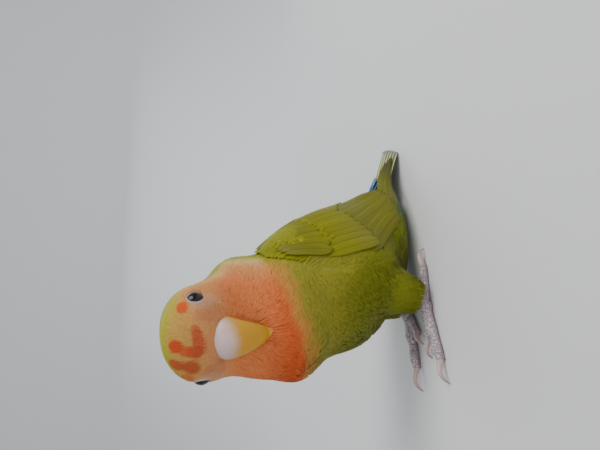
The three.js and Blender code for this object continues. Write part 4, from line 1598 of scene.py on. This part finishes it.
    def coverts(self) -> bpy.types.Object:
        """Lesser coverts and scapulars as small vanes over the wing's shoulder.

        Returns:
            The object.
        """
        t, phi = self.core()
        keep = t > self.covert_end
        t, phi = t[keep], phi[keep]
        angle = np.radians(phi) * self.side.value
        root = self.form.surface(t, angle, self.covert_root, True)
        normal = self.form.normal(root, True)
        along = self.form.surface(t - 0.02, angle, self.covert_root, True) - root
        lie = across_flat(along, normal)
        lie = unit(lie + np.cross(normal, lie) * self.rng.normal(0, self.stray, len(t))[:, None])
        length, width = self.covert_vane
        length = length * self.rng.uniform(0.8, 1.15, len(t))
        width = width * self.rng.uniform(0.8, 1.15, len(t))
        edge = np.minimum(phi - along_edge(self.low, t), along_edge(self.high, t) - phi)
        rise = mix(0.9, 2.2, smooth_step(edge, 0, 22))

        def level(points: Array, s: Array) -> Array:
            """Height over the form, from inside the wing up to its surface."""
            wanted = rise * mix(0.45, 1.0, np.minimum(1, s * 1.4))
            return points + normal * (wanted - self.form.field(points, True))[:, None]

        bed = VaneBed(widths=(0.5, 1.0, 0.86), keel=0.07)
        points = bed.points(root, normal, lie, length, width, level)
        colour = tint(linear(*OLIVE), LIME, self.rng.random(len(t)))
        colour = tint(colour, HAY, 0.6 * smooth_step(phi, 112, 150))
        tones = bed.tones(colour, self.rng.normal(1, self.speckle, len(t)))
        place = np.stack([(angle / (2 * np.pi)) % 1, t], axis=1)
        return bed.piece(
            f"wing_coverts_{self.side.word}", points, normal, tones, place,
            self.finishes.get("plumage_coat"), "wing", 0.8,
        )

    def build(self) -> None:
        """The long feathers and the coverts of this wing."""
        gathered = FeatherSet(self.feather)
        for tier in self.tiers:
            for k in range(tier.count):
                self.large(gathered, tier, k / (tier.count - 1))
        gathered.piece(
            f"wing_feathers_{self.side.word}", self.finishes.get("plumage_flight"), "wing",
            (f"wing_{self.side.word}",),
        )
        self.coverts()


@dataclass
class Tail:
    """Graduated tail feathers, the middle pair on top, with blue coverts over their roots."""

    form: BodyForm
    finishes: Finishes
    rng: np.random.Generator
    pairs: int = 6
    root: Place = (45.0, 12.4, 0.75)
    tip_y: tuple[float, float] = (76.5, 68.5)
    tip_z: tuple[float, float] = (2.3, 0.55)
    half: tuple[float, float] = (2.5, 2.1)
    arch: float = 0.22
    spread: float = 1.62
    lean: float = 0.3
    covert_rows: tuple[tuple[float, int], ...] = ((60.5, 7), (56.5, 8), (52.0, 8))
    covert_half: float = 2.3
    feather: FeatherForm = field(default_factory=FeatherForm)

    def vane(
        self, gathered: FeatherSet, start: Array, end: Array, half: float, lean: float,
        tone: Callable[[Array, Array], Array],
    ) -> None:
        """Adds one feather along a line that falls as u^1.12 and spreads as u^0.8.

        Args:
            gathered: Where it goes.
            start: Its root.
            end: Its tip.
            half: Half width.
            lean: Fall to the outer side.
            tone: Colour from s and e.
        """
        s, e = self.feather.grid()
        share = np.stack([s**0.8, s, s**1.12], axis=-1)
        line = mix(start, end, share)
        wide = half * self.feather.width(s)
        line[..., 0] += e * wide
        line[..., 2] += -e * lean - self.arch * e * e + self.feather.spine(s, e)
        lift = np.array([0, 0, self.feather.thick / 2])
        floor = np.array([-np.inf, -np.inf, 0.12])
        gathered.add(np.maximum(line + lift, floor + 0.1), np.maximum(line - lift, floor), tone(s, e))

    def quill(self, outer: float) -> Callable[[Array, Array], Array]:
        """Colour of a tail feather: yellow-green, a dark bar, a whitish band, then a dark grey end.

        Args:
            outer: 0 for the middle pair and 1 for the outermost.

        Returns:
            A function of s and e.
        """

        def tone(s: Array, e: Array) -> Array:
            """Colours along the feather."""
            side = np.abs(e)
            colour = tint(linear(*STRAW), PALE, smooth_step(s, 0.2, 0.7))
            bar = np.exp(-(((s - 0.66) / 0.04) ** 2)) * (0.1 + 0.4 * outer)
            colour = tint(colour, SOOT, bar * (1 - smooth_step(side, 0.5, 0.9)))
            colour = tint(colour, BONE, 0.5 * smooth_step(s, 0.7, 0.82))
            return tint(colour, ASH, 0.85 * smooth_step(s - 0.05 * side, 0.82, 0.96))

        return tone

    def build(self) -> None:
        """The tail feathers and their coverts."""
        gathered = FeatherSet(self.feather)
        for i in range(self.pairs):
            w = i / (self.pairs - 1)
            for side in Side:
                x = side.value * (i + 0.5)
                start = np.array([x * self.root[2], self.root[0], self.root[1] - 0.75 * i])
                end = np.array([x * self.spread, mix(*self.tip_y, w**1.3), mix(*self.tip_z, w)])
                self.vane(gathered, start, end, mix(*self.half, w), side.value * self.lean, self.quill(w))
        gathered.piece("tail_feathers", self.finishes.get("plumage_flight"), "tail", ("tail",))
        self.coverts()

    def coverts(self) -> bpy.types.Object:
        """Blue coverts over the tail's root in three rows.

        Returns:
            The object.
        """
        gathered = FeatherSet(FeatherForm(rows=11, cols=7, thick=0.2, rachis=0.06))
        self.feather = gathered.form
        for row, (reach, count) in enumerate(self.covert_rows):
            for k in range(count):
                x = k - (count - 1) / 2
                chance = self.rng.uniform(-1, 1, 2)
                start = np.array([x * 1.3, 40.0 - 2 * row, 17.2 + 1.3 * row - 0.16 * x * x])
                end = np.array([x * 2.0, reach - 0.5 * x * x + chance[0], 0])
                end[2] = 12.9 - 0.36 * (end[1] - 49) - 0.2 * x * x + 0.15 * row
                self.vane(gathered, start, end, self.covert_half, np.sign(x) * 0.2, self.blue(chance[1]))
        return gathered.piece("tail_coverts", self.finishes.get("plumage_flight"), "tail", ())

    @staticmethod
    def blue(chance: float) -> Callable[[Array, Array], Array]:
        """Colour of a covert: deep to bright blue with a greener edge.

        Args:
            chance: A number from -1 to 1 for this feather.

        Returns:
            A function of s and e.
        """

        def tone(s: Array, e: Array) -> Array:
            """Colours along the feather."""
            colour = tint(linear(*DEEP_BLUE), SKY, s)
            return tint(colour, TEAL, 0.35 * np.abs(e) ** 3) * (1 + 0.1 * chance)

        return tone


# Bill, eyes and feet


@dataclass
class Bill:
    """Upper bill, lower bill and cere, from profiles in the head's frame."""

    form: BodyForm
    finishes: Finishes
    upper: tuple[tuple[float, ...], ...] = (
        (-10.5, 1.6, -8.5, -7.0, 5.9), (-14.6, 1.8, -11.4, -7.6, 6.3),
        (-17.9, 0.2, -13.3, -8.4, 6.1), (-20.2, -3.2, -15.2, -9.9, 5.1),
        (-21.0, -7.4, -16.4, -11.9, 4.0), (-20.6, -11.4, -17.0, -14.0, 2.75),
        (-19.2, -14.6, -17.1, -15.6, 1.5), (-17.7, -16.9, -17.0, -17.1, 0.5),
    )
    lower: tuple[tuple[float, ...], ...] = (
        (-8.0, -7.8, -4.5, -12.6, 4.7), (-11.0, -9.0, -8.6, -13.2, 4.7), (-13.2, -10.6, -11.6, -14.0, 4.0),
        (-14.8, -12.4, -13.9, -14.6, 2.7), (-15.6, -14.2, -15.2, -15.0, 1.1),
    )
    cere_at: Place = (0, -14.5, 0.6)
    cere_size: Place = (4.2, 2.3, 1.5)
    nostril: Place = (1.7, -16.1, 1.5)

    @staticmethod
    def horn(
        profile: Sequence[Sequence[float]], pinch: float, rows: int = 56, cols: int = 48,
    ) -> tuple[Array, list[Array]]:
        """Rings between a front and a back line: x = half sin^pinch(a), depth by (1 - cos a) / 2.

        Args:
            profile: Rows of front y, front z, back y, back z and half width.
            pinch: Power of the sine across.
            rows: Rings along it.
            cols: Points round it.

        Returns:
            Points in the head's frame and faces.
        """
        table = np.array(profile)
        values, _ = smooth_line(table, np.linspace(0, len(table) - 1, rows))
        a = np.arange(cols) * 2 * np.pi / cols
        w = ((1 - np.cos(a)) / 2)[None, :]
        x = np.sign(np.sin(a)) * np.abs(np.sin(a)) ** pinch
        local = np.stack([
            values[:, 4:5] * x[None, :],
            mix(values[:, 0:1], values[:, 2:3], w),
            mix(values[:, 1:2], values[:, 3:4], w),
        ], axis=-1)
        ends = np.stack([local[0].mean(0), local[-1].mean(0)])
        points = np.concatenate([local.reshape(-1, 3), ends])
        return points, outward(points, tube_faces(rows, cols))

    @staticmethod
    def tone(local: Array) -> Array:
        """Bill colour by height: pinkish white at the base, yellow below the middle, pale at the tip."""
        z = local[:, 2] - 0.15 * np.abs(local[:, 0])
        colour = tint(linear(214, 188, 192), (206, 176, 158), smooth_step(-z, 0, 4))
        colour = tint(colour, (198, 142, 0), smooth_step(-z, 2.5, 6.0))
        return tint(colour, (222, 188, 92), smooth_step(-z, 14.0, 16.5))

    def from_nostril(self, local: Array, sign: int) -> Array:
        """Distance of places in the head's frame from the nostril of one side."""
        return np.linalg.norm(local - np.array(self.nostril) * np.array([sign, 1, 1]), axis=1)

    def cere(self) -> bpy.types.Object:
        """Bare band over the bill with a dimple at each nostril, darkened there as painted shade of the
        openings.

        Returns:
            The object.
        """
        rows, cols = 28, 64
        p, a = ball_angles(rows, cols)
        ball = np.stack([np.cos(p), np.sin(p) * np.cos(a), np.sin(p) * np.sin(a)], axis=-1)
        local = ball * np.array(self.cere_size) + np.array(self.cere_at)
        for sign in (1, -1):
            near = np.exp(-((self.from_nostril(local, sign) / 0.45) ** 2))
            local = local + np.array([0, 0.12, -0.05]) * near[:, None]
        holes = np.minimum(self.from_nostril(local, 1), self.from_nostril(local, -1))
        tone = tint(linear(222, 200, 204), (206, 172, 172), smooth_step(np.abs(local[:, 0]), 2, 5))
        # Painted shade: the nostril dimples are darkened towards (120, 86, 78).
        tone = tint(tone, (120, 86, 78), 1 - smooth_step(holes, 0.25, 0.6))
        points = self.form.head.out(local)
        faces = outward(points, tube_faces(rows, cols))
        return MeshPiece("cere", points, faces, self.finishes.get("cere_skin"), "bill", tone).build()

    def build(self) -> None:
        """Both halves of the bill and the cere."""
        for name, profile, pinch in (("bill_upper", self.upper, 1.0), ("bill_lower", self.lower, 0.9)):
            local, faces = self.horn(profile, pinch)
            points = self.form.head.out(local)
            MeshPiece(
                f"{name}_horn", points, outward(points, faces), self.finishes.get("bill_horn"), "bill",
                self.tone(local), replaces=(name,),
            ).build()
        self.cere()


@dataclass
class Eye:
    """One eye: ball, lids and the bare ring, set on the head's outer form."""

    form: BodyForm
    side: Side
    aside: float = 4.6
    forward: float = 8.0
    up: float = 2.9
    wide: float = 2.55
    deep: float = 1.9
    proud: float = 0.7
    opening: float = 2.45
    ring: float = 3.0
    look_out: float = 76.0
    look_up: float = 2.0
    bare: float = 2.75

    def look(self) -> Array:
        """Direction that the eye faces, in the body's frame."""
        out, up = np.radians(self.look_out), np.radians(self.look_up)
        local = np.array([self.side.value * np.sin(out) * np.cos(up), -np.cos(out) * np.cos(up), np.sin(up)])
        return self.form.head.turn() @ local

    def on_skin(self) -> Array:
        """Where the eye's axis leaves the outer form, by steps along the look."""
        aim = self.form.head.out(np.array([self.side.value * self.aside, -self.forward, self.up]))
        reach = np.linspace(0, 20, 2001)
        line = aim + self.look() * reach[:, None]
        return line[np.argmax(self.form.field(line) > 0)]

    def centre(self) -> Array:
        """Centre of the flattened ball, whose front stands a little proud of the form."""
        return self.on_skin() + self.look() * (self.proud - self.deep)

    def frame(self) -> tuple[Array, Array, Array]:
        """Forward, upward and outward axes of the eye."""
        look = self.look()
        up = unit(np.array([0, 0, 1.0]) - look * look[2])
        return np.cross(up, look), up, look

    def globe(self, finishes: Finishes) -> bpy.types.Object:
        """The ball with a dark iris and a black pupil, and a slightly raised cornea.

        Args:
            finishes: All finishes.

        Returns:
            The object.
        """
        rows, cols = 46, 64
        polar, a = ball_angles(rows, cols)
        x, y, z = self.frame()
        cornea = 1 + 0.03 * np.exp(-((polar / 0.5) ** 2))
        points = self.centre() + (
            x * (self.wide * np.sin(polar) * np.cos(a))[:, None]
            + y * (self.wide * np.sin(polar) * np.sin(a))[:, None]
            + z * (self.deep * cornea * np.cos(polar))[:, None]
        )
        tone = tint(linear(4, 3, 3), (20, 11, 8), smooth_step(polar, 0.52, 0.6))
        tone = tint(tone, (10, 7, 6), smooth_step(polar, 0.9, 1.0))
        return MeshPiece(
            f"eye_{self.side.word}_globe", points, outward(points, tube_faces(rows, cols)),
            finishes.get("eye_gloss"), "eye", tone, replaces=(f"eye_{self.side.word}",),
        ).build()

    def lids(self, finishes: Finishes) -> bpy.types.Object:
        """Bare ring and lid edge: a closed band whose inner lip lies on the ball and outer rim on the skin.

        Args:
            finishes: All finishes.

        Returns:
            The object.
        """
        rows, cols = 96, 18
        a = np.arange(rows) * 2 * np.pi / rows
        w = np.linspace(0, 1, cols)
        grid_a, grid_w = np.meshgrid(a, w, indexing="ij")
        x, y, z = self.frame()
        rim = self.ring + 0.1 * np.abs(np.cos(grid_a)) - 0.3 * np.sin(grid_a)
        radius = mix(self.opening * (1 + 0.03 * np.cos(2 * grid_a)), rim, grid_w)
        radial = x * np.cos(grid_a)[..., None] + y * np.sin(grid_a)[..., None]
        flat = self.centre() + radial * radius[..., None]
        reach = np.linspace(-4, 9, 261)
        values = self.form.field(flat[:, :, None, :] + z * reach[None, None, :, None])
        on_form = reach[np.argmax(values > -0.15, axis=2)]
        on_ball = self.deep * np.sqrt(np.maximum(0.01, 1 - (radius / self.wide) ** 2)) + 0.1
        rise = mix(on_ball, on_form, smooth_step(grid_w, 0.25, 1.0))
        folds = 0.06 * np.sin(grid_w * 15) * np.sin(np.pi * grid_w)
        swell = 0.24 * np.sin(np.pi * np.minimum(1, grid_w * 1.15 + 0.08))
        top = flat + z * (rise + swell + folds)[..., None]
        under = flat + z * (rise - 0.7)[..., None]
        points = np.concatenate([top, under[:, ::-1]], axis=1)
        tone_w = np.concatenate([grid_w, grid_w[:, ::-1]], axis=1).ravel()
        tone = tint(linear(90, 70, 64), (192, 172, 156), smooth_step(tone_w, 0.02, 0.25))
        tone = tint(tone, (200, 144, 100), smooth_step(tone_w, 0.35, 0.85))
        flat_points = points.reshape(-1, 3)
        faces = outward(flat_points, [grid_faces(rows, 2 * cols, wrap_rows=True, wrap_cols=True)])
        return MeshPiece(
            f"eye_{self.side.word}_ring", flat_points, faces, finishes.get("eye_ring_skin"), "peach", tone,
        ).build()

    def build(self, finishes: Finishes) -> None:
        """Ball, then lids and ring."""
        self.globe(finishes)
        self.lids(finishes)


@dataclass(frozen=True)
class Toe:
    """One toe: how far it reaches, where it points, how thick it is and its claw's length."""

    name: str
    reach: float
    heading: float
    radius: float
    claw: float


@dataclass
class Foot:
    """Bare foot of one side: shank, pad and four toes of ringed scutes, with claws."""

    side: Side
    finishes: Finishes
    heel: Place = (10.7, 4.5, 6.0)
    knob: Place = (10.0, 0.0, 1.8)
    shank: float = 1.9
    pad: float = 2.5
    toes: tuple[Toe, ...] = (
        Toe("front_outer", 19.0, 6, 1.9, 8.5),
        Toe("front_inner", 10.5, -24, 1.6, 5.8),
        Toe("back_outer", 14.0, 166, 1.65, 6.5),
        Toe("back_inner", 8.5, 205, 1.5, 5.0),
    )
    claw_overlap: float = 0.4
    claw_height: float = 1.3
    claw_turn: float = 1.25
    claw_hump: float = 0.16
    claw_drop: float = 1.02
    claw_radii: tuple[float, float] = (0.98, 0.12)
    sole: float = 0.02
    grain: float = 0.2

    def heading(self, toe: Toe) -> Array:
        """Level direction of a toe."""
        a = np.radians(toe.heading)
        return np.array([self.side.value * np.sin(a), -np.cos(a), 0.0])

    @staticmethod
    def tube(
        line: Array, radii: Array, cols: int = 20, squash: float = 1.0,
    ) -> tuple[Array, list[Array]]:
        """Closed tube of rings square to a line: c + r (side cos a + up squash sin a).

        Args:
            line: Centres.
            radii: Radius at each centre.
            cols: Points round it.
            squash: Height over width.

        Returns:
            Points and faces.
        """
        along = unit(np.gradient(line, axis=0))
        side = unit(np.stack([along[:, 1], -along[:, 0], np.zeros(len(line))], axis=-1) + 1e-9)
        up = np.cross(side, along)
        a = np.arange(cols) * 2 * np.pi / cols
        ring = line[:, None] + radii[:, None, None] * (
            side[:, None] * np.cos(a)[None, :, None] + up[:, None] * squash * np.sin(a)[None, :, None]
        )
        points = np.concatenate([ring.reshape(-1, 3), line[:1], line[-1:]])
        return points, outward(points, tube_faces(len(line), cols))

    def toe(self, toe: Toe) -> tuple[Array, list[Array]]:
        """One toe: radius r (1.05 to 0.78) with three joint swellings and a raised rim at each scute.

        Args:
            toe: Its sizes.

        Returns:
            Points and faces.
        """
        w = np.linspace(0, 1, int(toe.reach * 5))
        joints = 1 + 0.08 * np.cos(w * 5 * np.pi)
        scutes = 1 + 0.11 * np.abs(np.sin(w * toe.reach * np.pi / 2.2)) ** 0.5
        radii = toe.radius * mix(1.0, 0.76, w) * joints * scutes
        line = self.side.placed(self.knob) + self.heading(toe) * (toe.reach * w)[:, None]
        line[:, 2] = mix(self.knob[2], radii * 0.86, np.minimum(1, w * 2.5))
        return self.tube(line, radii, squash=0.9)

    def ball(self, centre: Array, radius: float) -> tuple[Array, list[Array]]:
        """A round end, as a tube whose rings follow r sin(p)."""
        p = np.linspace(0.08, np.pi - 0.08, 15)
        line = centre + np.stack([np.zeros(15), -np.cos(p) * radius, np.zeros(15)], axis=-1)
        return self.tube(line, np.sin(p) * radius)

    def skin(self) -> bpy.types.Object:
        """Shank, pad and toes merged into one closed skin with flat soles.

        Returns:
            The object.
        """
        heel, knob = self.side.placed(self.heel), self.side.placed(self.knob)
        w = np.linspace(0, 1, 26)
        ridges = 1 + 0.05 * np.abs(np.sin(w * 11))
        parts = [
            self.tube(mix(heel, knob, w[:, None]), mix(self.shank, self.shank * 1.1, w) * ridges),
            self.ball(heel, self.shank),
            self.ball(knob, self.pad),
        ] + [self.toe(toe) for toe in self.toes]
        start = 0
        points, quads, tips = [], [], []
        for part, faces in parts:
            points.append(part)
            quads.append(faces[0] + start)
            tips.append(faces[1] + start)
            start += len(part)
        piece = MeshPiece(
            f"foot_{self.side.word}_skin", np.concatenate(points),
            [np.concatenate(quads), np.concatenate(tips)],
            self.finishes.get("foot_skin"), "foot", replaces=(f"foot_{self.side.word}",),
        ).build()
        remesh = piece.modifiers.new("merge", "REMESH")
        remesh.mode = "VOXEL"
        remesh.voxel_size = self.grain * MM
        remesh.use_smooth_shade = True
        apply_modifiers(piece)
        self.flatten(piece)
        return piece

    def flatten(self, piece: bpy.types.Object) -> None:
        """Soles pressed level just over the floor, z = max(z, sole), and a colour for every point, darker
        near the floor as painted shade.
        """
        mesh = piece.data
        co = np.zeros(len(mesh.vertices) * 3, np.float32)
        mesh.vertices.foreach_get("co", co)
        rows = co.reshape(-1, 3)
        rows[:, 2] = np.maximum(rows[:, 2], self.sole * MM)
        mesh.vertices.foreach_set("co", rows.ravel())
        height = rows[:, 2] / MM
        # Painted shade: the skin darkens from 2.6 mm down to 0.3 mm over the floor, under the toes and where
        # they meet it.
        tone = tint(linear(158, 134, 138), (204, 190, 198), smooth_step(height, 0.3, 2.6))
        paint(mesh, tone)
        mesh.update()

    def claw(self, toe: Toe) -> bpy.types.Object:
        """Curved claw that thins to its tip: forward by sin(1.25 w), with a hump and a fall to the floor.

        Args:
            toe: The toe that it ends.

        Returns:
            The object.
        """
        w = np.linspace(0, 1, 30)
        start = self.side.placed(self.knob) + self.heading(toe) * (toe.reach - self.claw_overlap)
        start[2] = self.claw_height
        bend = np.sin(self.claw_turn * w) / np.sin(self.claw_turn)
        line = start + self.heading(toe) * ((toe.claw + 0.8) * bend * 0.86)[:, None]
        hump = toe.claw * self.claw_hump * np.sin(np.pi * w)
        line[:, 2] = self.claw_height + hump - w * w * self.claw_drop
        cols = 20
        points, faces = self.tube(line, mix(*self.claw_radii, w**1.15), cols=cols, squash=1.1)
        shade = np.repeat(w, cols).tolist() + [0.0, 1.0]
        tone = tint(linear(206, 178, 174), (150, 128, 122), smooth_step(np.array(shade), 0.3, 1.0))
        name = f"claw_{self.side.word}_{toe.name}"
        return MeshPiece(
            f"{name}_horn", points, faces, self.finishes.get("claw_horn"), "claw", tone, replaces=(name,),
        ).build()

    def build(self) -> None:
        """The foot's skin and its claws."""
        self.skin()
        for toe in self.toes:
            self.claw(toe)


def apply_modifiers(piece: bpy.types.Object) -> None:
    """Bakes a piece's modifiers into its mesh."""
    graph = bpy.context.evaluated_depsgraph_get()
    result = bpy.data.meshes.new_from_object(piece.evaluated_get(graph), depsgraph=graph)
    piece.modifiers.clear()
    piece.data = result


# Studio


@dataclass
class Studio:
    """Pale floor and wall, soft lights, and the camera at the photograph's angle and framing."""

    eye: Place = (170.8, -90.3, 68.6)
    forward: Place = (-0.791, 0.596, -0.139)
    roll: float = 2.0
    lens: float = 36.0
    floor: Colour = (222, 224, 226)
    lamps: tuple[tuple[str, Place, float, float, Place], ...] = (
        ("key", (0.35, 0.25, 0.55), 3.6, 0.5, (1.0, 0.98, 0.95)),
        ("fill", (0.45, -0.45, 0.25), 1.3, 0.6, (0.95, 0.97, 1.0)),
        ("rim", (-0.45, 0.35, 0.4), 1.2, 0.4, (1.0, 1.0, 1.0)),
    )
    look_at: Place = (0, 0, 0.045)
    world: tuple[float, ...] = (0.86, 0.87, 0.9, 1)
    world_strength: float = 0.52

    def camera(self) -> None:
        """Camera turned a quarter like the photograph: its right is the bird's down."""
        fw = unit(np.array(self.forward))
        level = unit(np.cross(fw, [0, 0, 1.0]))
        above = np.cross(level, fw)
        c, s = np.cos(np.radians(self.roll)), np.sin(np.radians(self.roll))
        right = level * c + above * s
        up = above * c - level * s
        data = bpy.data.cameras.new("camera")
        data.lens = self.lens
        data.sensor_width = 36.0
        data.clip_start = 0.005
        data.clip_end = 10.0
        axes = np.stack([-up, right, -fw], axis=1)
        place = (np.array(self.eye) - ORIGIN) * MM
        bpy.context.scene.camera = self.stand("camera", data, axes, place)

    @staticmethod
    def stand(name: str, data: bpy.types.ID, axes: Array, place: Array) -> bpy.types.Object:
        """Links an object with the given axes and place.

        Args:
            name: Its name.
            data: What it shows, a camera or a lamp.
            axes: Its axes as columns.
            place: Where it stands, in metres.

        Returns:
            The object.
        """
        rows = np.eye(4)
        rows[:3, :3] = axes
        rows[:3, 3] = place
        thing = bpy.data.objects.new(name, data)
        thing.matrix_world = Matrix(rows.tolist())
        bpy.context.scene.collection.objects.link(thing)
        return thing

    def ground(self) -> None:
        """Wide pale floor that curves up behind the bird into a wall."""
        angle = np.radians(np.linspace(0, 90, 14))
        reach = 0.45
        radius = 0.25
        curve = np.stack([reach + radius * np.sin(angle), radius * (1 - np.cos(angle))], axis=-1)
        profile = np.concatenate([[[-2.0, 0.0]], curve, [[reach + radius, 2.0]]])
        wide = np.linspace(-2, 2, 9)
        behind = unit(np.array([self.forward[0], self.forward[1], 0]))
        beside = np.array([-behind[1], behind[0], 0])
        above = np.array([0, 0, 1.0])
        grid = profile[:, None, 0:1] * behind + wide[None, :, None] * beside + profile[:, None, 1:2] * above
        mesh = bpy.data.meshes.new("floor")
        mesh.from_pydata(grid.reshape(-1, 3).tolist(), [], grid_faces(len(profile), 9)[:, ::-1].tolist())
        mesh.polygons.foreach_set("use_smooth", np.full(len(mesh.polygons), True))
        material = bpy.data.materials.new("pale_floor")
        material.use_nodes = True
        shader = material.node_tree.nodes["Principled BSDF"]
        shader.inputs["Base Color"].default_value = (*linear(*self.floor), 1)
        shader.inputs["Roughness"].default_value = 0.9
        mesh.materials.append(material)
        floor = bpy.data.objects.new("floor", mesh)
        bpy.context.scene.collection.objects.link(floor)

    def lamp(
        self, name: str, at: Sequence[float], power: float, size: float, glow: Sequence[float],
    ) -> None:
        """A square area light that looks at the bird's middle.

        Args:
            name: Its name.
            at: Its place in metres.
            power: Watts.
            size: Edge in metres.
            glow: Its colour.
        """
        data = bpy.data.lights.new(name, "AREA")
        data.energy = power
        data.size = size
        data.color = glow
        place = np.array(at, float)
        back = unit(place - np.array(self.look_at))
        side = unit(np.cross([0, 0, 1.0], back))
        self.stand(name, data, np.stack([side, np.cross(back, side), back], axis=1), place)

    def build(self) -> None:
        """Camera, floor, lights and a soft grey world."""
        self.camera()
        self.ground()
        for lamp in self.lamps:
            self.lamp(*lamp)
        world = bpy.data.worlds.new("studio")
        world.use_nodes = True
        background = world.node_tree.nodes["Background"]
        background.inputs[0].default_value = self.world
        background.inputs[1].default_value = self.world_strength
        bpy.context.scene.world = world


def main() -> None:
    """Builds the bird from the inside out, then the studio."""
    logging.basicConfig(level=logging.INFO, format="%(name)s: %(message)s")
    rng = np.random.default_rng(SEED)
    form = BodyForm()
    marks = Markings(form)
    finishes = Finishes()
    skin = Skin(form, marks, finishes)
    skin.build()
    Coat(form, marks, skin, finishes, rng).build()
    for side in Side:
        Wing(form, finishes, rng, side).build()
    Tail(form, finishes, rng).build()
    Bill(form, finishes).build()
    for side in Side:
        Eye(form, side).build(finishes)
        Foot(side, finishes).build()
    Studio().build()


if __name__ == "__main__":
    main()
